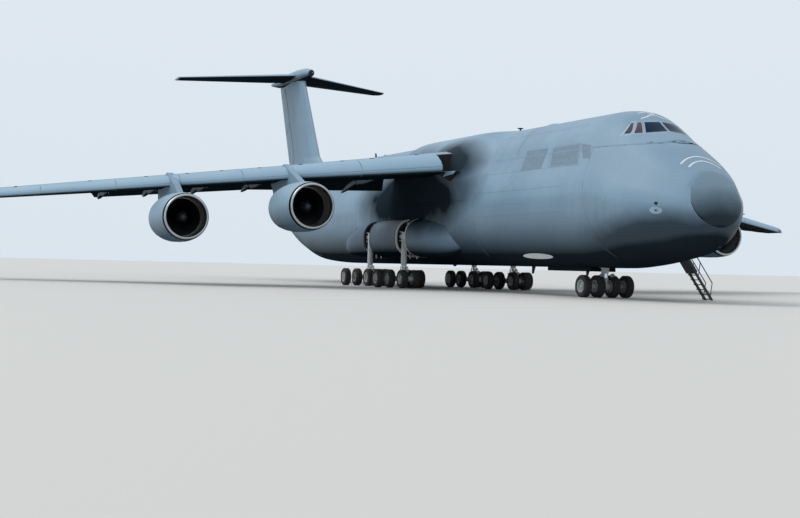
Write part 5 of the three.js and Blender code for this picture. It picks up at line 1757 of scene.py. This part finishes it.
@dataclass
class Engine:
    """One turbofan: the cowl with its polished lip, and the fan."""

    name: str
    side: str
    lip: float
    y: float
    z: float
    blades: int = 38
    steps: int = 96
    # Distance aft of the lip and radius, on the outside from the lip to the rear edge, then back inside.
    cowl: tuple = (
        (0.0, 1.3),
        (0.01, 1.335),
        (0.05, 1.37),
        (0.12, 1.4),
        (0.3, 1.445),
        (0.6, 1.488),
        (1.2, 1.535),
        (2.0, 1.545),
        (3.2, 1.525),
        (4.0, 1.465),
        (4.7, 1.375),
        (4.68, 1.345),
        (4.4, 1.345),
        (2.8, 1.315),
        (1.5, 1.21),
        (0.9, 1.195),
        (0.4, 1.205),
        (0.12, 1.235),
        (0.03, 1.265),
    )
    # The first of those that lies inside, and how far the bare lip reaches outside and inside.
    rear: int = 11
    lip_depth: float = 0.2
    lip_inside: float = 0.45

    @property
    def centre(self) -> Point:
        """The middle of the lip's plane in model metres."""
        return place(self.lip, self.y * SIDES[self.side], self.z)

    @property
    def tag(self) -> str:
        """The end of its pieces' names."""
        return f"{self.name}_{self.side}"

    def build(self) -> None:
        """Builds cowl and fan."""
        self.build_cowl()
        self.build_fan()

    def build_cowl(self) -> None:
        """Builds the painted cowl and its bare lip."""
        profile, cut = scaled(self.cowl), self.lip_depth * SCALE
        outside, inside = profile[: self.rear], profile[self.rear :]
        inner = [p for p in inside if p[0] >= cut]
        body, duct, rim = MeshKit(), MeshKit(), MeshKit()
        body.tube([p for p in outside if p[0] >= cut] + inner[:1], self.centre, (-1, 0, 0), self.steps)
        shell = body.piece(f"cowl_{self.tag}_skin", Finish.COWL_TOPCOAT, "airframe")
        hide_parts(f"cowl_{self.tag}")
        duct.tube(inner, self.centre, (-1, 0, 0), self.steps)
        duct.piece(f"cowl_{self.tag}_duct", Finish.DUCT, "airframe", sharp=60)
        front = [p for p in inside if p[0] <= self.lip_inside * SCALE] + [p for p in outside if p[0] <= cut]
        rim.turned(front, self.centre, (-1, 0, 0), self.steps, loop=True)
        rim.piece(f"cowl_{self.tag}_lip", Finish.LIP, "airframe", sharp=60)

    def build_fan(self) -> None:
        """Builds the spinner and its twisted blades."""
        body = f"fan_{self.tag}"
        spinner = MeshKit()
        curve = [(0.85 + 0.5 * t * t, 0.3 * math.sin(t * math.pi / 2) + 0.001) for t in np.linspace(0, 1, 14)]
        spinner.turned(scaled([*curve, (1.62, 0.4)]), self.centre, (-1, 0, 0), 48)
        cone = spinner.piece(f"fan_{self.tag}_spinner", Finish.SPINNER, body)
        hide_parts(f"fan_{self.tag}")
        blades = MeshKit()
        for turn in turns(self.blades):
            self.add_blade(blades, turn)
        blades.piece(f"fan_{self.tag}_blades", Finish.TITANIUM, body, sharp=50)

    def add_blade(self, kit: MeshKit, turn: float) -> None:
        """Adds one blade.

        Args:
            kit: Collects it.
            turn: Its direction round the shaft.
        """
        root, tip, middle = 0.4, 1.165, 1.42
        rings = []
        for t in np.linspace(0, 1, 6):
            r = (root + (tip - root) * t) * SCALE
            twist = math.radians(28 + 32 * t)
            chord = (0.3 + 0.08 * t) * SCALE
            ring = []
            for u, thick in ((-0.5, 0), (-0.1, 0.022), (0.5, 0), (-0.1, -0.008)):
                along, across = u * chord * math.cos(twist) + thick * math.sin(twist), u * chord * math.sin(twist)
                across -= thick * math.cos(twist)
                angle = turn + across / r
                x = self.centre[0] - middle * SCALE - along
                ring.append((x, self.centre[1] + r * math.sin(angle), self.centre[2] + r * math.cos(angle)))
            rings.append(ring)
        kit.rings(rings)


@dataclass
class WheelSet:
    """The wheels on one axle end: moulded tyres on enamelled hubs."""

    node: str
    body: str
    s: float
    ys: tuple
    radius: float = 0.6225
    width: float = 0.43
    bore: float = 0.102
    # Shares of the tyre's half width and of the rim's radius, from the rim in to the bore's collar.
    hub_face: tuple = (
        (0.86, 1.0),
        (0.95, 0.98),
        (0.9, 0.9),
        (0.35, 0.84),
        (0.2, 0.62),
        (0.3, 0.42),
        (0.85, 0.36),
        (0.92, 0.3),
    )
    # Where the tread's grooves run, as shares of its half width.
    grooves: tuple[float, ...] = (-0.45, -0.15, 0.15, 0.45)
    steps: int = 56

    def tyre_profile(self) -> list[tuple[float, float]]:
        """One tyre's section about its axle, going round once.

        Returns:
            Pairs of distance across and radius in model metres.
        """
        half, out, rim = self.width / 2, self.radius, self.radius * 0.56
        edge = 0.035 * half
        tread = []
        for share in self.grooves:
            middle = share * half * 1.2
            tread += [(middle - edge, out), (middle, out * 0.975), (middle + edge, out)]
        side = [(0.82 * half, rim), (half, rim * 1.16), (half, out * 0.8), (0.93 * half, out * 0.93)]
        side.append((0.72 * half, out * 0.99))
        return scaled([(-a, r) for a, r in side] + tread + side[::-1])

    def hub_profile(self) -> list[tuple[float, float]]:
        """One hub's section from its left face to its right face, in model metres."""
        half, rim = self.width / 2, self.radius * 0.575
        left = [(-across * half, rim * out) for across, out in self.hub_face] + [(-0.92 * half, self.bore)]
        return scaled(left[::-1] + [(-a, r) for a, r in left])

    def build(self) -> None:
        """Builds tyres, hubs and bolts."""
        tyres, hubs, bolts = MeshKit(), MeshKit(), MeshKit()
        for y in self.ys:
            centre = place(self.s, y, self.radius)
            tyres.turned(self.tyre_profile(), centre, (0, 1, 0), self.steps, loop=True)
            hubs.turned(self.hub_profile(), centre, (0, 1, 0), self.steps, loop=True)
            self.add_bolts(bolts, centre)
        tread = tyres.piece(f"{self.node}_tyres", Finish.RUBBER, self.body, sharp=40)
        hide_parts(self.node)
        hubs.piece(f"{self.node}_hubs", Finish.HUB_WHITE, self.body, sharp=35)
        bolts.piece(f"{self.node}_bolts", Finish.STEEL, self.body)

    def add_bolts(self, kit: MeshKit, centre: Point, count: int = 9) -> None:
        """Adds the ring of bolts on both faces of a hub."""
        half = self.width / 2 * SCALE
        circle = self.radius * 0.42 * SCALE
        for side in (-1, 1):
            for a in turns(count):
                x, z = centre[0] + circle * math.cos(a), centre[2] + circle * math.sin(a)
                start, end = ((x, centre[1] + side * half * share, z) for share in (0.3, 0.52))
                kit.bar(start, end, 0.011, 6)


@dataclass
class Studio:
    """The camera at the photograph's place, a plain pale floor and soft light."""

    # Fitted to the photograph: real metres ahead of the nose, y and height, then angles in degrees.
    ahead: float = 52.436
    y: float = -38.578
    height: float = 1.512
    yaw: float = 157.456
    pitch: float = 0.288
    roll: float = 1.367
    focal_px: float = 1313.752
    image_width: float = 800.0
    sensor: float = 36.0
    # The soft lamp's strength, and its rotation and apparent width in degrees.
    sun_strength: float = 1.15
    sun_turn: Point = (42, 0, -38)
    sun_spread: float = 35.0

    def build(self) -> None:
        """Builds camera, floor and lights."""
        self.build_camera()
        self.build_floor()
        self.build_light()

    def build_camera(self) -> None:
        """Places the camera and aims it."""
        data = bpy.data.cameras.new("photo_camera")
        data.sensor_width = self.sensor
        data.sensor_fit = "HORIZONTAL"
        data.lens = self.focal_px * self.sensor / self.image_width
        data.clip_end = 2000
        yaw, pitch, roll = (math.radians(v) for v in (self.yaw, self.pitch, self.roll))
        forward = Vector((math.cos(yaw) * math.cos(pitch), math.sin(yaw) * math.cos(pitch), math.sin(pitch)))
        level = forward.cross(Vector((0, 0, 1))).normalized()
        top = level.cross(forward)
        right = level * math.cos(roll) + top * math.sin(roll)
        up = top * math.cos(roll) - level * math.sin(roll)
        turn = Matrix((right, up, -forward)).transposed().to_4x4()
        camera = bpy.data.objects.new("photo_camera", data)
        camera.matrix_world = Matrix.Translation(Vector(place(-self.ahead, self.y, self.height))) @ turn
        bpy.context.scene.collection.objects.link(camera)
        bpy.context.scene.camera = camera

    def build_floor(self) -> None:
        """Lays a wide pale floor under the wheels."""
        half = 600.0
        mesh = bpy.data.meshes.new("studio_floor")
        mesh.from_pydata([(-half, -half, 0), (half, -half, 0), (half, half, 0), (-half, half, 0)], [], [(0, 1, 2, 3)])
        mesh.materials.append(Surface("pale_floor", "#c9c7c3", 0.85).material)
        floor = bpy.data.objects.new("studio_floor", mesh)
        bpy.context.scene.collection.objects.link(floor)

    def build_light(self) -> None:
        """Adds a pale sky that is brighter overhead, and one broad soft lamp."""
        world = bpy.data.worlds.new("studio_sky")
        world.use_nodes = True
        tree = world.node_tree
        direction = add_node(tree, "ShaderNodeTexCoord").outputs["Generated"]
        up = add_node(tree, "ShaderNodeSeparateXYZ", {"Vector": direction})
        height = add_node(tree, "ShaderNodeMapRange", {"Value": up.outputs["Z"], "From Min": 0.0, "From Max": 0.9})
        colours = {0: height.outputs["Result"], 6: linear("#dfeaf4"), 7: linear("#f4f8fc")}
        sky = add_node(tree, "ShaderNodeMix", colours, data_type="RGBA")
        background = tree.nodes["Background"]
        tree.links.new(sky.outputs[2], background.inputs["Color"])
        background.inputs["Strength"].default_value = 0.95
        bpy.context.scene.world = world
        bpy.context.scene.view_settings.view_transform = "Standard"
        data = bpy.data.lights.new("overcast_key", "SUN")
        data.energy = self.sun_strength
        data.angle = math.radians(self.sun_spread)
        lamp = bpy.data.objects.new("overcast_key", data)
        lamp.rotation_euler = [math.radians(a) for a in self.sun_turn]
        bpy.context.scene.collection.objects.link(lamp)


# The finish of the CAD nodes that stay, by the start of their names.
CAD_FINISHES = {
    "flight_deck_glass": Finish.GLASS,
    "crew_door_stair": Finish.STAIR,
    "nose_leg": Finish.GEAR_WHITE,
    "nose_fork": Finish.GEAR_WHITE,
    "nose_bay_door": Finish.TOPCOAT,
    "main_leg": Finish.GEAR_WHITE,
    "aft_bogie": Finish.GEAR_WHITE,
    "gear_pod": Finish.TOPCOAT,
}
# Station of the middle of the fore and the aft main legs.
MAIN_LEGS = (("fore", 29.75), ("aft", 36.05))


def dress_cad_nodes() -> None:
    """Gives every CAD node its finish."""
    for name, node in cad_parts.items():
        found = [finish for start, finish in CAD_FINISHES.items() if name.startswith(start)]
        node.data.materials.clear()
        node.data.materials.append((found or [Finish.WING_TOPCOAT])[0].material)


def wheel_sets() -> list[WheelSet]:
    """All the wheel sets, nose and main."""
    sets = []
    for side, k in SIDES.items():
        ys = tuple(k * y for y in (0.476, 1.359))
        sets.append(WheelSet(f"wheels_nose_{side}", f"nose_wheels_{side}", 10.7, ys))
        for where, s in MAIN_LEGS:
            for row, ds, offsets in (
                ("front", -0.825, (-0.43, 0.43)),
                ("rear", 0.825, (-1.537, -0.673, 0.673, 1.537)),
            ):
                name = f"wheels_{where}_{row}_{side}"
                sets.append(WheelSet(name, name, s + ds, tuple(k * 4.17 + y for y in offsets)))
    return sets


def main() -> None:
    """Builds the studio and every sub-assembly in order."""
    logging.basicConfig(level=logging.INFO, format="%(name)s: %(message)s")
    engines = [
        Engine(name, side, lip, y, z)
        for name, lip, y, z in (("inner", 22.6, 13.17, 4.98), ("outer", 26.65, 19.9, 4.2))
        for side in SIDES
    ]
    pods = [GearPod(side) for side in SIDES]
    legs = [
        MainLeg(side, where, s, f"bogie_{side}" if where == "aft" else "airframe")
        for side in SIDES
        for where, s in MAIN_LEGS
    ]
    trims = [WingTrim(side) for side in SIDES]
    dress_cad_nodes()
    body = (Studio(), Fuselage(), FlightDeckWindows(), HullMarkings(), WingFairing())
    for part in (*body, *pods, *legs, NoseLeg(), *trims, TailTrim(), StairTrim(), *engines, *wheel_sets()):
        part.build()
        log.info("built %s", type(part).__name__)


if __name__ == "__main__":
    main()
